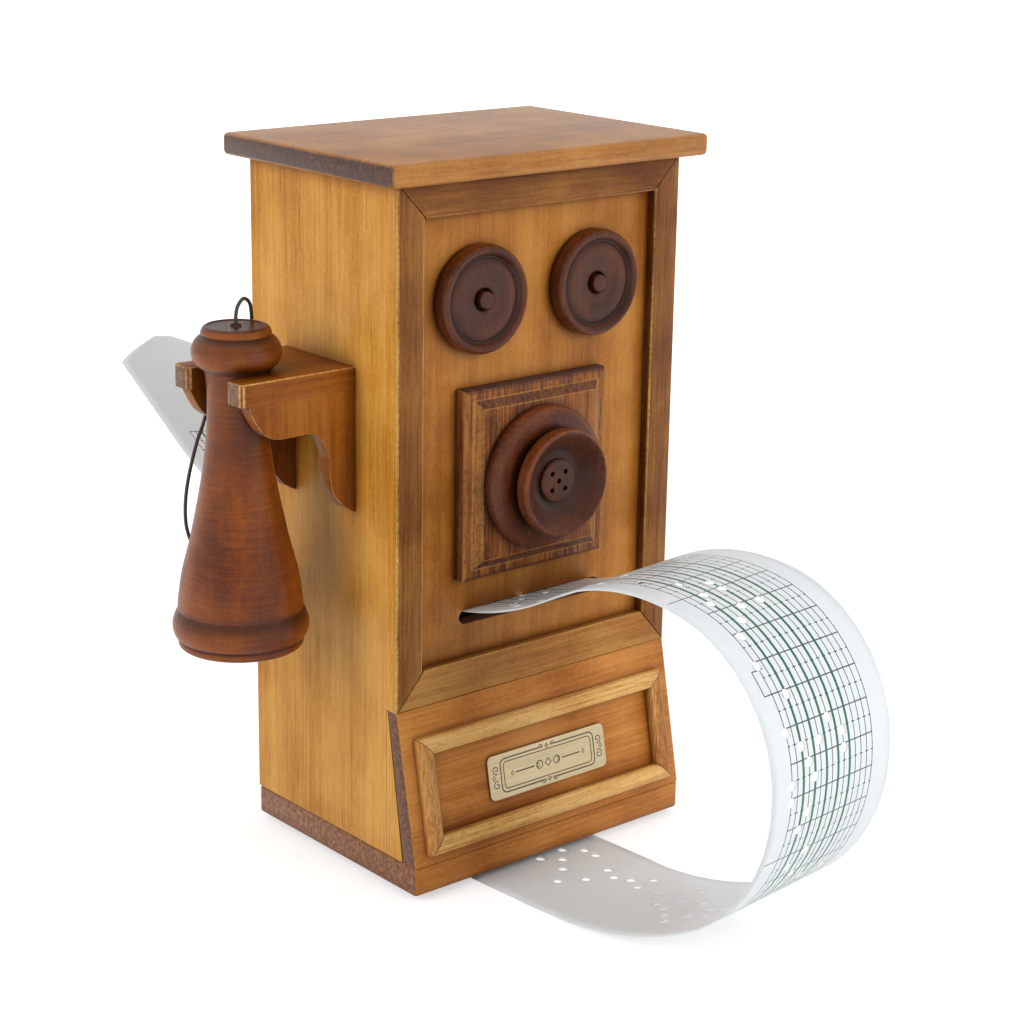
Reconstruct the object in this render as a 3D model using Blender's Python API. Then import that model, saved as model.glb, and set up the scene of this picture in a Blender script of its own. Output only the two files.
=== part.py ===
# Hand-crank music box in a wooden case shaped like an antique wall telephone.
# It plays a punched card strip, which enters and leaves through slots in the front and the back.
# Metres, +Z up. The case has its own frame: x across the front, y from the front frame to the back
# and z up from the underside of the base plate. The empty music_box carries that frame.

import bmesh
import bpy
from math import atan2, ceil, cos, degrees, pi, radians, sin
from mathutils import Matrix, Vector

# Clearances
seam = 0.0003
running_gap = 0.0001
overrun = 0.002

# Case
case_width = 0.0886
case_depth = 0.0586
case_height = 0.17365
side_thickness = 0.006
top_thickness = 0.0052
top_side_overhang = 0.0051
top_front_overhang = 0.005
top_back_overhang = 0.0045
top_edge_round = 0.0011
base_thickness = 0.0073
base_forward = 0.0077
base_edge_round = 0.0007
flare_height = 0.0456
flare_board_top = 0.0033
flare_board_bottom = 0.0048
frame_thickness = 0.0038
stile_width = 0.0078
top_rail_width = 0.008
bottom_rail_width = 0.0088
frame_lap = 0.0016
panel_recess = 0.0026
panel_thickness = 0.004
back_thickness = 0.004
back_lip = 0.0025
pad_radius = 0.0033
pad_height = 0.0016
pad_inset = 0.0085
shelf_thickness = 0.006
back_screw_radius = 0.0009
back_screw_head_radius = 0.0021
back_screw_head_height = 0.001
back_screw_length = 0.0085
back_screw_inset = 0.014

# Strip slots in the front and back panels
slot_width = 0.0465
slot_height = 0.004
front_slot_middle = 0.0649
back_slot_middle = 0.0646

# Trim on the front: its pieces sit a little to the left of the panel's middle line,
# and its sizes are shares of the opening's width, or of its height where that is the tighter one
bell_shift = -0.001
plinth_shift = -0.0022
trim_height_share = 0.6562
bell_radius_share = 0.1808
bell_height_share = 0.0589
bell_spread_share = 0.4932
bell_level_share = 0.809
bell_pin_radius = 0.0021
bell_pin_socket_gap = 0.0005
bell_pin_height = 0.0042
bell_socket_floor = 0.001
plinth_width_share = 0.6205
plinth_height_share = 0.6493
plinth_level_share = 0.4018
plinth_thickness = 0.0033
plinth_edge_round = 0.0009
plinth_border = 0.0026
plinth_bevel = 0.0022
plinth_field_rise = 0.0014
disc_radius_share = 0.2452
disc_height_share = 0.0603
mouthpiece_level_share = 0.4018
cup_radius_share = 0.1822
cup_height_share = 0.0904
cup_hole_radius = 0.00068
cup_hole_spread = 0.0021
cup_hole_depth = 0.002

# Moulding and name plate on the slanted front board
moulding_width = 0.0042
moulding_height = 0.0024
moulding_side_inset = 0.0038
moulding_rise = 0.0291
moulding_level = 0.0241
plate_width = 0.039
plate_height = 0.0115
plate_thickness = 0.0005
plate_corner = 0.0015
plate_shift = 0.0003
plate_level = 0.0233

# Cradle on the left side
cradle_middle_share = 0.5154
cradle_width_share = 0.4812
cradle_reach = 0.0325
cradle_thickness = 0.0051
cradle_top = 0.1285
cradle_tip_chamfer = 0.0007
cradle_mouth_chamfer = 0.0008
bracket_thickness = 0.0034
bracket_arm_length = 0.0222
bracket_arm_drop = 0.0142
bracket_leg_width = 0.0074
bracket_leg_drop = 0.0303

# Handset
handset_out = 0.0242
handset_bottom = 0.0607
handset_height = 0.0786
handset_radius = 0.01645
handset_neck_radius = 0.00775
cord_hole_radius = 0.0011
cord_hole_depth = 0.008
cord_radius = 0.00045
cord_socket_radius = 0.0009
cord_lane_gap = 0.0057
cord_socket_level = 0.074

# Card strip
strip_width = 0.041
strip_thickness = 0.00025
strip_nose_length = 0.0117
strip_nose_width = 0.0056
strip_tail_run = 0.068
strip_floor_gap = 0.00015
strip_shift = -0.0016
strip_askew = radians(0.5)
strip_level = 0.0653
strip_step = 0.0045

# Punched-strip movement. Its wheels and their places are shares of its depth, front to back.
movement_front_room = 0.0069
movement_back_room = 0.0036
cheek_thickness = 0.003
cheek_inside = 0.024
cheek_top_shoulder = 0.0635
cheek_corner_round = 0.004
bed_level = 0.0403
bed_thickness = 0.003
rail_depth_share = 0.2
star_place_share = 0.44
star_radius_share = 0.1227
star_root_share = 0.088
star_sleeve_share = 0.0613
star_width = 0.0009
star_pitch = 0.002
star_count = 15
star_points = 6
star_spindle_radius = 0.001
comb_thickness = 0.001
comb_edge = 0.0016
comb_tooth_gap = 0.0005
comb_long_tooth_share = 0.28
comb_short_tooth_share = 0.165
comb_screw_radius = 0.001
comb_screw_head_radius = 0.002
comb_screw_head_height = 0.0011
comb_screw_length = 0.0065
comb_screw_spread = 0.02
roller_place_share = 0.1733
roller_radius_share = 0.1093
roller_tyre_share = 0.12
roller_tyre_width = 0.004
roller_half_length = 0.0205
roller_shaft_radius = 0.0015
press_roller_share = 0.0933
press_shaft_radius = 0.0012
gear_module_share = 0.02133
gear_teeth = 24
pinion_teeth = 12
gear_start_share = 0.22
gear_width_share = 0.31
gear_line_angle = radians(-33.6)
addendum_share = 0.75
dedendum_share = 1.1
tooth_root_share = 0.56
tooth_tip_share = 0.26
bed_screw_radius = 0.0012
bed_screw_head_radius = 0.0022
bed_screw_head_height = 0.0014
bed_screw_spread = 0.03

# Crank on the right side
rod_radius = 0.0015
rod_inner_end = 0.0233
rod_bend = 0.003
arm_out = 0.0062
arm_length = 0.024
knob_radius = 0.0048
knob_length = 0.0135
knob_cap = 0.0014
knob_gap = 0.0012
bushing_radius = 0.0032
bushing_flange_radius = 0.0052
bushing_flange_height = 0.001

# Places and sizes that follow
half_case = case_width / 2
inside_half = half_case - side_thickness
panel_face = panel_recess
panel_back = panel_recess + panel_thickness
back_face = case_depth - back_thickness
side_front = frame_thickness + seam

opening_width = case_width - 2 * stile_width
opening_low = flare_height + bottom_rail_width
opening_height = case_height - top_rail_width - opening_low
trim_unit = min(opening_width, trim_height_share * opening_height)
bell_radius = bell_radius_share * trim_unit
bell_height = bell_height_share * trim_unit
bell_spread = bell_spread_share * trim_unit
bell_level = opening_low + bell_level_share * opening_height
plinth_width = plinth_width_share * trim_unit
plinth_height = plinth_height_share * trim_unit
plinth_level = opening_low + plinth_level_share * opening_height
disc_radius = disc_radius_share * trim_unit
disc_height = disc_height_share * trim_unit
mouthpiece_level = opening_low + mouthpiece_level_share * opening_height
cup_radius = cup_radius_share * trim_unit
cup_height = cup_height_share * trim_unit
moulding_span = case_width - 2 * moulding_side_inset

shelf_top = bed_level - seam
shelf_bottom = shelf_top - shelf_thickness
movement_front = panel_back + movement_front_room
movement_back = back_face - movement_back_room
movement_depth = movement_back - movement_front
movement_middle = movement_front + star_place_share * movement_depth
roller_back = movement_front + roller_place_share * movement_depth
star_radius = star_radius_share * movement_depth
star_root = star_root_share * movement_depth
star_sleeve_radius = star_sleeve_share * movement_depth
roller_radius = roller_radius_share * movement_depth
roller_tyre_radius = roller_tyre_share * movement_depth
press_roller_radius = press_roller_share * movement_depth
rail_depth = rail_depth_share * movement_depth
rail_front = movement_back - rail_depth
gear_module = gear_module_share * movement_depth
gear_room = inside_half - cheek_inside - cheek_thickness
gear_start = cheek_inside + cheek_thickness + gear_start_share * gear_room
gear_end = gear_start + gear_width_share * gear_room
strip_under = strip_level - strip_thickness / 2 - seam
strip_over = strip_level + strip_thickness / 2 + seam
star_axis = Vector((0, movement_middle, strip_under - star_radius))
roller_axis = Vector((0, roller_back, strip_under - roller_tyre_radius))
press_axis = Vector((0, roller_back, strip_over + press_roller_radius))
gear_distance = gear_module * (gear_teeth + pinion_teeth) / 2
gear_line = Vector((0, cos(gear_line_angle), sin(gear_line_angle)))
crank_axis = roller_axis + gear_line * gear_distance
comb_level = star_axis.z
comb_tip_back = movement_middle + star_radius + seam
rail_top = comb_level - comb_thickness / 2 - seam

arm_plane = half_case + arm_out
knob_start = arm_plane + rod_radius + knob_gap
knob_axis = crank_axis - Vector((0, 0, arm_length))

cradle_back = cradle_middle_share * case_depth
cradle_width = cradle_width_share * case_depth
handset_axis = Vector((-half_case - handset_out, cradle_back, handset_bottom))
cradle_slot_half = handset_neck_radius + seam
cord_lane = cradle_back + cradle_width / 2 + cord_lane_gap

# Stretches of the strip from the rollers outwards, each a radius in metres, a turn in degrees (up is
# positive) and the slant of its bending line in degrees. A straight stretch has no turn, and its
# length in place of the radius. One more bend at the front brings the strip down to the floor.
strip_front_bends = (
    (0.0157, 0.0, 0.0),
    (0.0572, 11.5, 0.0),
    (0.0972, 19.7, -7.2),
    (0.0607, -41.2, 0.1),
    (0.0352, -73.0, -1.9),
    (0.0450, -66.1, -1.2),
)
strip_landing_slant = 3.8
strip_back_bends = (
    (0.0209, 0.0, 0.0),
    (0.0456, -9.7, 0.0),
    (0.091, 26.1, 11.0),
    (0.172, 13.6, 11.0),
    (0.0405, 0.0, 0.0),
)

# Turned profiles, as (share of the radius, share of the height) from the low end to the high end.
# Each stretch is one smooth curve, and stretches meet at a crease.
bell_rim_shares = (
    ((0.0, 0.0), (0.965, 0.0)),
    ((0.965, 0.0), (0.99, 0.06), (1.0, 0.18), (1.0, 0.5)),
    ((1.0, 0.5), (0.988, 0.78), (0.95, 0.95), (0.9, 1.0), (0.85, 0.92)),
    ((0.85, 0.92), (0.81, 0.74), (0.775, 0.66), (0.74, 0.71)),
    ((0.74, 0.71), (0.64, 0.78), (0.5, 0.76), (0.38, 0.72), (0.3, 0.7)),
)
disc_shares = (
    ((0.0, 0.0), (0.965, 0.0)),
    ((0.965, 0.0), (1.0, 0.15), (0.995, 0.45), (0.955, 0.75), (0.88, 0.93)),
    ((0.88, 0.93), (0.76, 1.0), (0.64, 0.93), (0.54, 0.76)),
    ((0.54, 0.76), (0.0, 0.76)),
)
cup_shares = (
    ((0.0, 0.0), (0.6, 0.0)),
    ((0.6, 0.0), (0.66, 0.12), (0.8, 0.26), (0.94, 0.38), (1.0, 0.5)),
    ((1.0, 0.5), (1.005, 0.75), (1.0, 0.92), (0.97, 0.99)),
    ((0.97, 0.99), (0.93, 0.98), (0.83, 0.82), (0.7, 0.58), (0.57, 0.41), (0.48, 0.36), (0.415, 0.36)),
    ((0.415, 0.36), (0.41, 0.45), (0.36, 0.515)),
    ((0.36, 0.515), (0.0, 0.535)),
)
handset_shares = (
    ((0.0, 0.0331), (0.304, 0.0305), (0.571, 0.0216), (0.79, 0.0)),
    ((0.79, 0.0), (0.869, 0.0006), (0.912, 0.0076), (0.919, 0.0178), (0.906, 0.0267)),
    (
        (0.906, 0.0267), (0.96, 0.0369), (0.997, 0.0585), (0.994, 0.0814), (0.96, 0.1031),
        (0.918, 0.1221),
    ),
    (
        (0.918, 0.1221), (0.915, 0.145), (0.872, 0.2087), (0.807, 0.2723), (0.726, 0.3359),
        (0.6, 0.4618), (0.498, 0.5865), (0.441, 0.7112), (0.432, 0.7723), (0.439, 0.8219),
        (0.462, 0.8626),
    ),
    (
        (0.462, 0.8626), (0.505, 0.8702), (0.571, 0.8817), (0.623, 0.8969), (0.647, 0.9186),
        (0.632, 0.9389), (0.584, 0.958), (0.502, 0.972),
    ),
    ((0.502, 0.972), (0.508, 0.9796), (0.486, 0.9911), (0.456, 0.9975), (0.419, 1.0)),
)
knob_shares = (
    ((0.62, 0.0), (0.76, 0.02)),
    ((0.76, 0.02), (0.84, 0.14), (0.8, 0.34), (0.93, 0.62), (1.0, 0.8), (0.86, 0.95), (0.5, 1.0)),
    ((0.5, 1.0), (0.0, 1.0)),
)

# Lower edge of a bracket arm, as (share of its length from the tip, share of its drop)
bracket_arm_shares = (
    (0.0, 0.0), (0.0, 0.05), (0.03, 0.15), (0.1, 0.35), (0.183, 0.496), (0.31, 0.6), (0.52, 0.615),
    (0.71, 0.6), (0.8, 0.632), (0.908, 0.762), (0.965, 0.919), (1.0, 1.06),
)
# Section of the base moulding, as (share of its width, share of its height)
moulding_section_shares = (
    (0.0, 0.45), (0.04, 0.72), (0.14, 0.91), (0.3, 1.0), (0.7, 1.0), (0.87, 0.92), (0.96, 0.76), (1.0, 0.5),
)
# Outer edge of a bracket leg, as (share of its width from the front, share of its drop)
bracket_leg_shares = (
    (0.0, 0.0), (0.0, 0.6), (0.06, 0.745), (0.18, 0.82), (0.34, 0.875), (0.6, 0.94), (1.0, 0.995),
)

# Route of the handset's cord from inside the handset's head to the side panel: out to the side from
# the handset's axis, back from it, and the level. The last stretch keeps to its lane behind the fork.
cord_head_route = (
    (0.0, 0.0, 0.1335), (0.0, 0.0, 0.1375), (0.0, 0.0, 0.1412), (0.0009, 0.0004, 0.1436),
    (0.0032, 0.0014, 0.1449), (0.0055, 0.0025, 0.1436), (0.0068, 0.0036, 0.1410),
    (0.0080, 0.0054, 0.1375), (0.0090, 0.0082, 0.1335), (0.0083, 0.0135, 0.1295),
    (0.0068, 0.0184, 0.1250),
)
cord_lane_route = (
    (0.0055, 0.1180), (0.0035, 0.1115), (0.0013, 0.1065), (-0.0012, 0.0985), (-0.0024, 0.0915),
    (-0.0021, 0.0850), (0.0005, 0.0790), (0.0055, 0.0752), (0.0125, 0.0741), (0.0195, 0.0740),
    (0.0275, 0.0740),
)
cord_points = 54

# Finishes: colour, roughness, metallic
finishes = {
    "honey lacquer": ((0.52, 0.26, 0.07), 0.42, 0.0),
    "frame stain": ((0.31, 0.14, 0.055), 0.45, 0.0),
    "amber stain": ((0.42, 0.16, 0.04), 0.42, 0.0),
    "moulding stain": ((0.55, 0.31, 0.1), 0.42, 0.0),
    "umber stain": ((0.16, 0.08, 0.045), 0.55, 0.0),
    "chocolate lacquer": ((0.1, 0.032, 0.02), 0.4, 0.0),
    "plinth stain": ((0.26, 0.08, 0.03), 0.5, 0.0),
    "handset stain": ((0.33, 0.1, 0.028), 0.4, 0.0),
    "cradle stain": ((0.39, 0.14, 0.03), 0.45, 0.0),
    "plain wood": ((0.6, 0.42, 0.24), 0.6, 0.0),
    "brushed brass": ((0.7, 0.52, 0.24), 0.35, 1.0),
    "cast zinc": ((0.55, 0.54, 0.5), 0.45, 1.0),
    "steel": ((0.6, 0.6, 0.6), 0.3, 1.0),
    "black rubber": ((0.03, 0.03, 0.03), 0.8, 0.0),
    "black knob": ((0.03, 0.025, 0.022), 0.35, 0.0),
    "green felt": ((0.05, 0.12, 0.07), 0.95, 0.0),
    "printed card": ((0.8, 0.84, 0.86), 0.5, 0.0),
    "dark cord": ((0.05, 0.045, 0.042), 0.7, 0.0),
}


# Scene and object helpers

def clear_scene():
    for old in list(bpy.data.objects):
        bpy.data.objects.remove(old)


def empty(name, place, parent=None):
    holder = bpy.data.objects.new(name, None)
    holder.empty_display_size = case_depth / 2
    holder.location = place
    holder.parent = parent
    bpy.context.scene.collection.objects.link(holder)
    return holder


def material(name, kind):
    colour, roughness, metallic = finishes[kind]
    made = bpy.data.materials.new(name)
    made.use_nodes = True
    shader = made.node_tree.nodes["Principled BSDF"]
    shader.inputs["Base Color"].default_value = (*colour, 1)
    shader.inputs["Roughness"].default_value = roughness
    shader.inputs["Metallic"].default_value = metallic
    made.diffuse_color = (*colour, 1)
    return made


# Makes an object from a bmesh drawn in the case's frame. Its origin is its holder's
def add(name, kind, shape, holder, smooth=False):
    away = Vector((0, 0, 0)) if holder.parent is None else holder.location
    bmesh.ops.translate(shape, verts=shape.verts, vec=-away)
    bmesh.ops.recalc_face_normals(shape, faces=shape.faces)
    mesh = bpy.data.meshes.new(name)
    shape.to_mesh(mesh)
    shape.free()
    if smooth:
        mesh.shade_smooth()
        mesh.set_sharp_from_angle(angle=radians(35))
    piece = bpy.data.objects.new(name, mesh)
    piece.parent = holder
    bpy.context.scene.collection.objects.link(piece)
    if kind:
        mesh.materials.append(material(name, kind))
    return piece


# Joins sections of as many points each into one body, with caps unless it is closed
def loft(sections, closed=False):
    shape = bmesh.new()
    rings = [[shape.verts.new(point) for point in section] for section in sections]
    pairs = list(zip(rings, rings[1:]))
    if closed:
        pairs.append((rings[-1], rings[0]))
    else:
        shape.faces.new(rings[0])
        shape.faces.new(rings[-1])
    for low, high in pairs:
        for i in range(len(low)):
            j = (i + 1) % len(low)
            shape.faces.new((low[i], low[j], high[j], high[i]))
    return shape


# A point from two outline coordinates and a place along the axis
def placed(axis, first, second, along):
    if axis == "X":
        return Vector((along, first, second))
    if axis == "Y":
        return Vector((first, along, second))
    return Vector((first, second, along))


def prism(outline, axis, start, end):
    return loft([[placed(axis, a, b, level) for a, b in outline] for level in (start, end)])


def block(low, high):
    (x0, y0, z0), (x1, y1, z1) = low, high
    return prism(((x0, y0), (x1, y0), (x1, y1), (x0, y1)), "Z", z0, z1)


def rounded(piece, width, segments=2):
    bevel = piece.modifiers.new("eased edges", "BEVEL")
    bevel.width = width
    bevel.segments = segments
    bevel.limit_method = "ANGLE"
    bevel.angle_limit = radians(40)
    return piece


# Points of an arc in an outline, with both ends
def arc(middle, radius, start, turn, steps):
    angles = [start + turn * i / steps for i in range(steps + 1)]
    return [(middle[0] + radius * cos(a), middle[1] + radius * sin(a)) for a in angles]


def circle(middle, radius, steps):
    return arc(middle, radius, 0, 2 * pi, steps)[:-1]


# Points of a curve that passes through the given points, with so many pieces to each span
def smooth_line(points, spans):
    line = []
    last = len(points) - 1
    for i in range(last):
        before, here = points[max(i - 1, 0)], points[i]
        after, beyond = points[i + 1], points[min(i + 2, last)]
        for step in range(spans):
            t = step / spans
            line.append(tuple(
                b + t * (c - a) / 2 + t * t * (2 * a - 5 * b + 4 * c - d) / 2
                + t * t * t * (3 * b - a - 3 * c + d) / 2
                for a, b, c, d in zip(before, here, after, beyond)
            ))
    return line + [tuple(points[-1])]


def profile(shares, radius, height, spans=1):
    line = []
    for stretch in shares:
        scaled = [(r * radius, h * height) for r, h in stretch]
        line += smooth_line(scaled, spans if len(scaled) > 2 else 1)[:-1]
    end = shares[-1][-1]
    return line + [(end[0] * radius, end[1] * height)]


# A body turned about the line from foot in the direction, from (radius, height) points
def turned(line, foot, direction, steps, closed=False):
    turn = Vector((0, 0, 1)).rotation_difference(Vector(direction)).to_matrix()
    shape = bmesh.new()
    rings = []
    for radius, height in line:
        if radius == 0:
            rings.append([shape.verts.new(foot + turn @ Vector((0, 0, height)))])
            continue
        ring = circle((0, 0), radius, steps)
        rings.append([shape.verts.new(foot + turn @ Vector((x, y, height))) for x, y in ring])
    pairs = list(zip(rings, rings[1:]))
    if closed:
        pairs.append((rings[-1], rings[0]))
    for low, high in pairs:
        for i in range(steps):
            j = (i + 1) % steps
            corners = [low[i % len(low)], low[j % len(low)], high[j % len(high)], high[i % len(high)]]
            corners = list(dict.fromkeys(corners))
            if len(corners) > 2:
                shape.faces.new(corners)
    return shape


def cutter(name, shape, holder):
    guide = add(name, None, shape, holder)
    guide.hide_render = True
    guide.display_type = "WIRE"
    return guide


def cut(piece, tools):
    for tool in tools:
        hole = piece.modifiers.new(tool.name, "BOOLEAN")
        hole.operation = "DIFFERENCE"
        hole.object = tool


# A round cutter that starts one overrun before its foot
def drill(name, holder, foot, direction, radius, depth, steps=16):
    line = ((0, -overrun), (radius, -overrun), (radius, depth), (0, depth))
    return cutter(name, turned(line, foot, direction, steps), holder)


# A pan-head screw: the foot is where its head meets the surface
def screw(name, foot, direction, shank, length, head, head_height, holder):
    line = (
        (0, -length), (shank, -length), (shank, 0), (head, 0),
        (head, head_height / 2), (head * cos(pi / 4), head_height), (0, head_height),
    )
    return add(name, "steel", turned(line, foot, direction, 14), holder, smooth=True)


# Case

# A bar with mitred ends. A cut is how much shorter the inner edge is, for the full width
def mitred_bar(section, length, start_cut, end_cut, place):
    width = max(across for across, depth in section)
    start = [place(start_cut * a / width, a, d) for a, d in section]
    end = [place(length - end_cut * a / width, a, d) for a, d in section]
    return loft([start, end])


def frame_section(width):
    lap_start = width - frame_lap
    lip = panel_recess - seam
    front = ((0, 0), (width, 0), (width, lip), (lap_start, lip))
    return (*front, (lap_start, frame_thickness), (0, frame_thickness))


def make_frame(case):
    low, high = flare_height + seam, case_height - seam
    rise = high - low
    for side, name in ((-1, "frame_stile_left"), (1, "frame_stile_right")):
        def stile(along, across, depth, side=side):
            return Vector((side * (half_case - across), depth, low + along))
        section = frame_section(stile_width - seam / 2)
        shape = mitred_bar(section, rise, bottom_rail_width, top_rail_width, stile)
        add(name, "frame stain", shape, case)

    def top(along, across, depth):
        return Vector((along - half_case, depth, high - across))

    def bottom(along, across, depth):
        return Vector((along - half_case, depth, low + across))

    for name, width, place in (
        ("frame_rail_top", top_rail_width, top), ("frame_rail_bottom", bottom_rail_width, bottom),
    ):
        gap = 2 * seam
        shape = mitred_bar(frame_section(width), case_width - 2 * gap, stile_width, stile_width,
                           lambda along, across, depth: place(along + gap, across, depth))
        add(name, "frame stain", shape, case)


def slot_cutter(name, case, middle, start, end):
    half = slot_height / 2
    straight = slot_width / 2 - half
    outline = arc((straight, middle), half, -pi / 2, pi, 6) + arc((-straight, middle), half, pi / 2, pi, 6)
    return cutter(name, prism(outline, "Y", start - overrun, end + overrun), case)


def make_front_panel(case):
    half = inside_half - seam
    low = flare_height + bottom_rail_width - frame_lap + 2 * seam
    high = case_height - top_rail_width + frame_lap - 2 * seam
    half = min(half, half_case - stile_width + frame_lap - seam)
    panel = add("front_panel", "amber stain", block((-half, panel_face, low), (half, panel_back, high)), case)
    cut(panel, [slot_cutter("front_slot_cutter", case, front_slot_middle, panel_face, panel_back)])


def back_screw_places():
    shoulder = (inside_half + half_case - back_lip) / 2
    low = base_thickness + back_screw_inset
    high = case_height - back_screw_inset
    return [
        (f"back_screw_{row}_{hand}", Vector((side * shoulder, case_depth + seam, level)))
        for row, level in (("lower", low), ("upper", high))
        for hand, side in (("left", -1), ("right", 1))
    ]


def make_side_panels(case):
    shoulder = half_case - back_lip
    rabbet = back_face - seam
    for side, name in ((-1, "side_panel_left"), (1, "side_panel_right")):
        outline = [
            (side * half_case, side_front), (side * inside_half, side_front), (side * inside_half, rabbet),
            (side * shoulder, rabbet), (side * shoulder, case_depth), (side * half_case, case_depth),
        ]
        shape = prism(outline, "Z", base_thickness + seam, case_height - seam)
        panel = add(name, "honey lacquer", shape, case)
        screws = [place for label, place in back_screw_places() if place.x * side > 0]
        tools = [
            drill(f"{name}_screw_cutter_{i}", case, Vector((place.x, rabbet, place.z)), (0, -1, 0),
                  back_screw_radius + running_gap, back_screw_length - back_thickness + overrun, 10)
            for i, place in enumerate(screws)
        ]
        if side < 0:
            foot = Vector((-half_case, cord_lane, cord_socket_level))
            tools.append(drill("cord_socket_cutter", case, foot, (1, 0, 0), cord_socket_radius,
                               side_thickness + overrun, 12))
        else:
            foot = Vector((inside_half, crank_axis.y, crank_axis.z))
            tools.append(drill("bushing_cutter", case, foot, (1, 0, 0), bushing_radius + running_gap,
                               side_thickness + overrun, 20))
        cut(panel, tools)


def make_back_panel(case):
    half = half_case - back_lip - seam
    low = (-half, back_face, base_thickness + seam)
    high = (half, case_depth, case_height - seam)
    panel = add("back_panel", "honey lacquer", block(low, high), case)
    tools = [slot_cutter("back_slot_cutter", case, back_slot_middle, back_face, case_depth)]
    for name, place in back_screw_places():
        tools.append(drill(f"{name}_cutter", case, Vector((place.x, case_depth, place.z)), (0, -1, 0),
                           back_screw_radius + running_gap, back_thickness + overrun, 10))
        screw(name, place, (0, 1, 0), back_screw_radius, back_screw_length, back_screw_head_radius,
              back_screw_head_height, case)
    cut(panel, tools)


def make_top_and_base(case):
    low = (-half_case - top_side_overhang, -top_front_overhang, case_height)
    high = (half_case + top_side_overhang, case_depth + top_back_overhang, case_height + top_thickness)
    rounded(add("top_board", "frame stain", block(low, high), case), top_edge_round, 3)
    low = (-half_case, -base_forward, 0)
    high = (half_case, case_depth, base_thickness)
    rounded(add("base_plate", "umber stain", block(low, high), case), base_edge_round)
    for row, back in (("front", pad_inset - base_forward), ("back", case_depth - pad_inset)):
        for hand, side in (("left", -1), ("right", 1)):
            foot = Vector((side * (half_case - pad_inset), back, -pad_height))
            line = ((0, 0), (pad_radius, 0), (pad_radius, pad_height - seam), (0, pad_height - seam))
            add(f"foot_pad_{row}_{hand}", "green felt", turned(line, foot, (0, 0, 1), 16), case)


def make_flare(case):
    low = base_thickness + seam
    high = flare_height
    board_back = flare_board_bottom - base_forward
    outline = ((0, high), (flare_board_top, high), (board_back, low), (-base_forward, low))
    shape = prism(outline, "X", -half_case, half_case)
    rounded(add("base_front_board", "amber stain", shape, case), seam)
    lean = (flare_board_top - board_back) / (high - low)
    tip = high - (side_front - seam - flare_board_top) / lean if lean < 0 else high
    front = board_back + 2 * seam
    wedge = ((front, low), (frame_thickness, low), (frame_thickness, tip - seam),
             (flare_board_top + seam, tip - seam))
    for hand, side in (("left", -1), ("right", 1)):
        ends = sorted((side * inside_half, side * half_case))
        add(f"base_wedge_{hand}", "amber stain", prism(wedge, "X", *ends), case)


# Origin, up direction and outward direction on the slanted board, at a height above the base
def slope_frame(level):
    low = Vector((0, -base_forward, base_thickness + seam))
    high = Vector((0, 0, flare_height))
    up = (high - low).normalized()
    out = Vector((0, -up.z, up.y))
    origin = low + up * ((level - low.z) / up.z)
    return origin, up, out


def make_moulding(case):
    origin, up, out = slope_frame(moulding_level)
    half_span, half_rise = moulding_span / 2, moulding_rise / 2
    section = [(0, seam)] + [
        (moulding_width * across, seam + moulding_height * out_share)
        for across, out_share in moulding_section_shares
    ] + [(moulding_width, seam)]
    gap = seam

    def lying(sign):
        def place(along, across, depth):
            return (origin + Vector((1, 0, 0)) * (along + gap - half_span)
                    + up * sign * (half_rise - across) + out * depth)
        return place

    def standing(sign):
        def place(along, across, depth):
            return (origin + Vector((1, 0, 0)) * sign * (half_span - across)
                    + up * (along + gap - half_rise) + out * depth)
        return place

    for name, length, place in (
        ("base_moulding_top", moulding_span, lying(1)),
        ("base_moulding_bottom", moulding_span, lying(-1)),
        ("base_moulding_left", moulding_rise, standing(-1)),
        ("base_moulding_right", moulding_rise, standing(1)),
    ):
        shape = mitred_bar(section, length - 2 * gap, moulding_width, moulding_width, place)
        add(name, "moulding stain", shape, case, smooth=True)


def make_name_plate(case):
    origin, up, out = slope_frame(plate_level)
    half_width, half_height = plate_width / 2 - plate_corner, plate_height / 2 - plate_corner
    outline = []
    for i, (a, b) in enumerate(((1, 1), (-1, 1), (-1, -1), (1, -1))):
        outline += arc((a * half_width, b * half_height), plate_corner, pi / 2 * i, pi / 2, 4)
    sections = [
        [origin + Vector((a + plate_shift, 0, 0)) + up * b + out * depth for a, b in outline]
        for depth in (seam, seam + plate_thickness)
    ]
    add("name_plate", "brushed brass", loft(sections), case)


# Front trim

def make_bells(case):
    for hand, side in (("left", -1), ("right", 1)):
        foot = Vector((bell_shift + side * bell_spread / 2, panel_face - seam, bell_level))
        socket = bell_pin_radius + bell_pin_socket_gap
        rim = profile(bell_rim_shares, bell_radius, bell_height)
        line = rim + [(socket, rim[-1][1] - bell_pin_socket_gap)]
        line += [(socket, bell_socket_floor), (0, bell_socket_floor)]
        add(f"bell_{hand}", "chocolate lacquer", turned(line, foot, (0, -1, 0), 28), case, smooth=True)
        low = bell_socket_floor + seam
        edge = bell_pin_radius / 5
        pin = ((0, low), (bell_pin_radius, low), (bell_pin_radius, bell_pin_height - edge),
               (bell_pin_radius - edge, bell_pin_height), (0, bell_pin_height))
        add(f"bell_pin_{hand}", "chocolate lacquer", turned(pin, foot, (0, -1, 0), 14), case, smooth=True)


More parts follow.
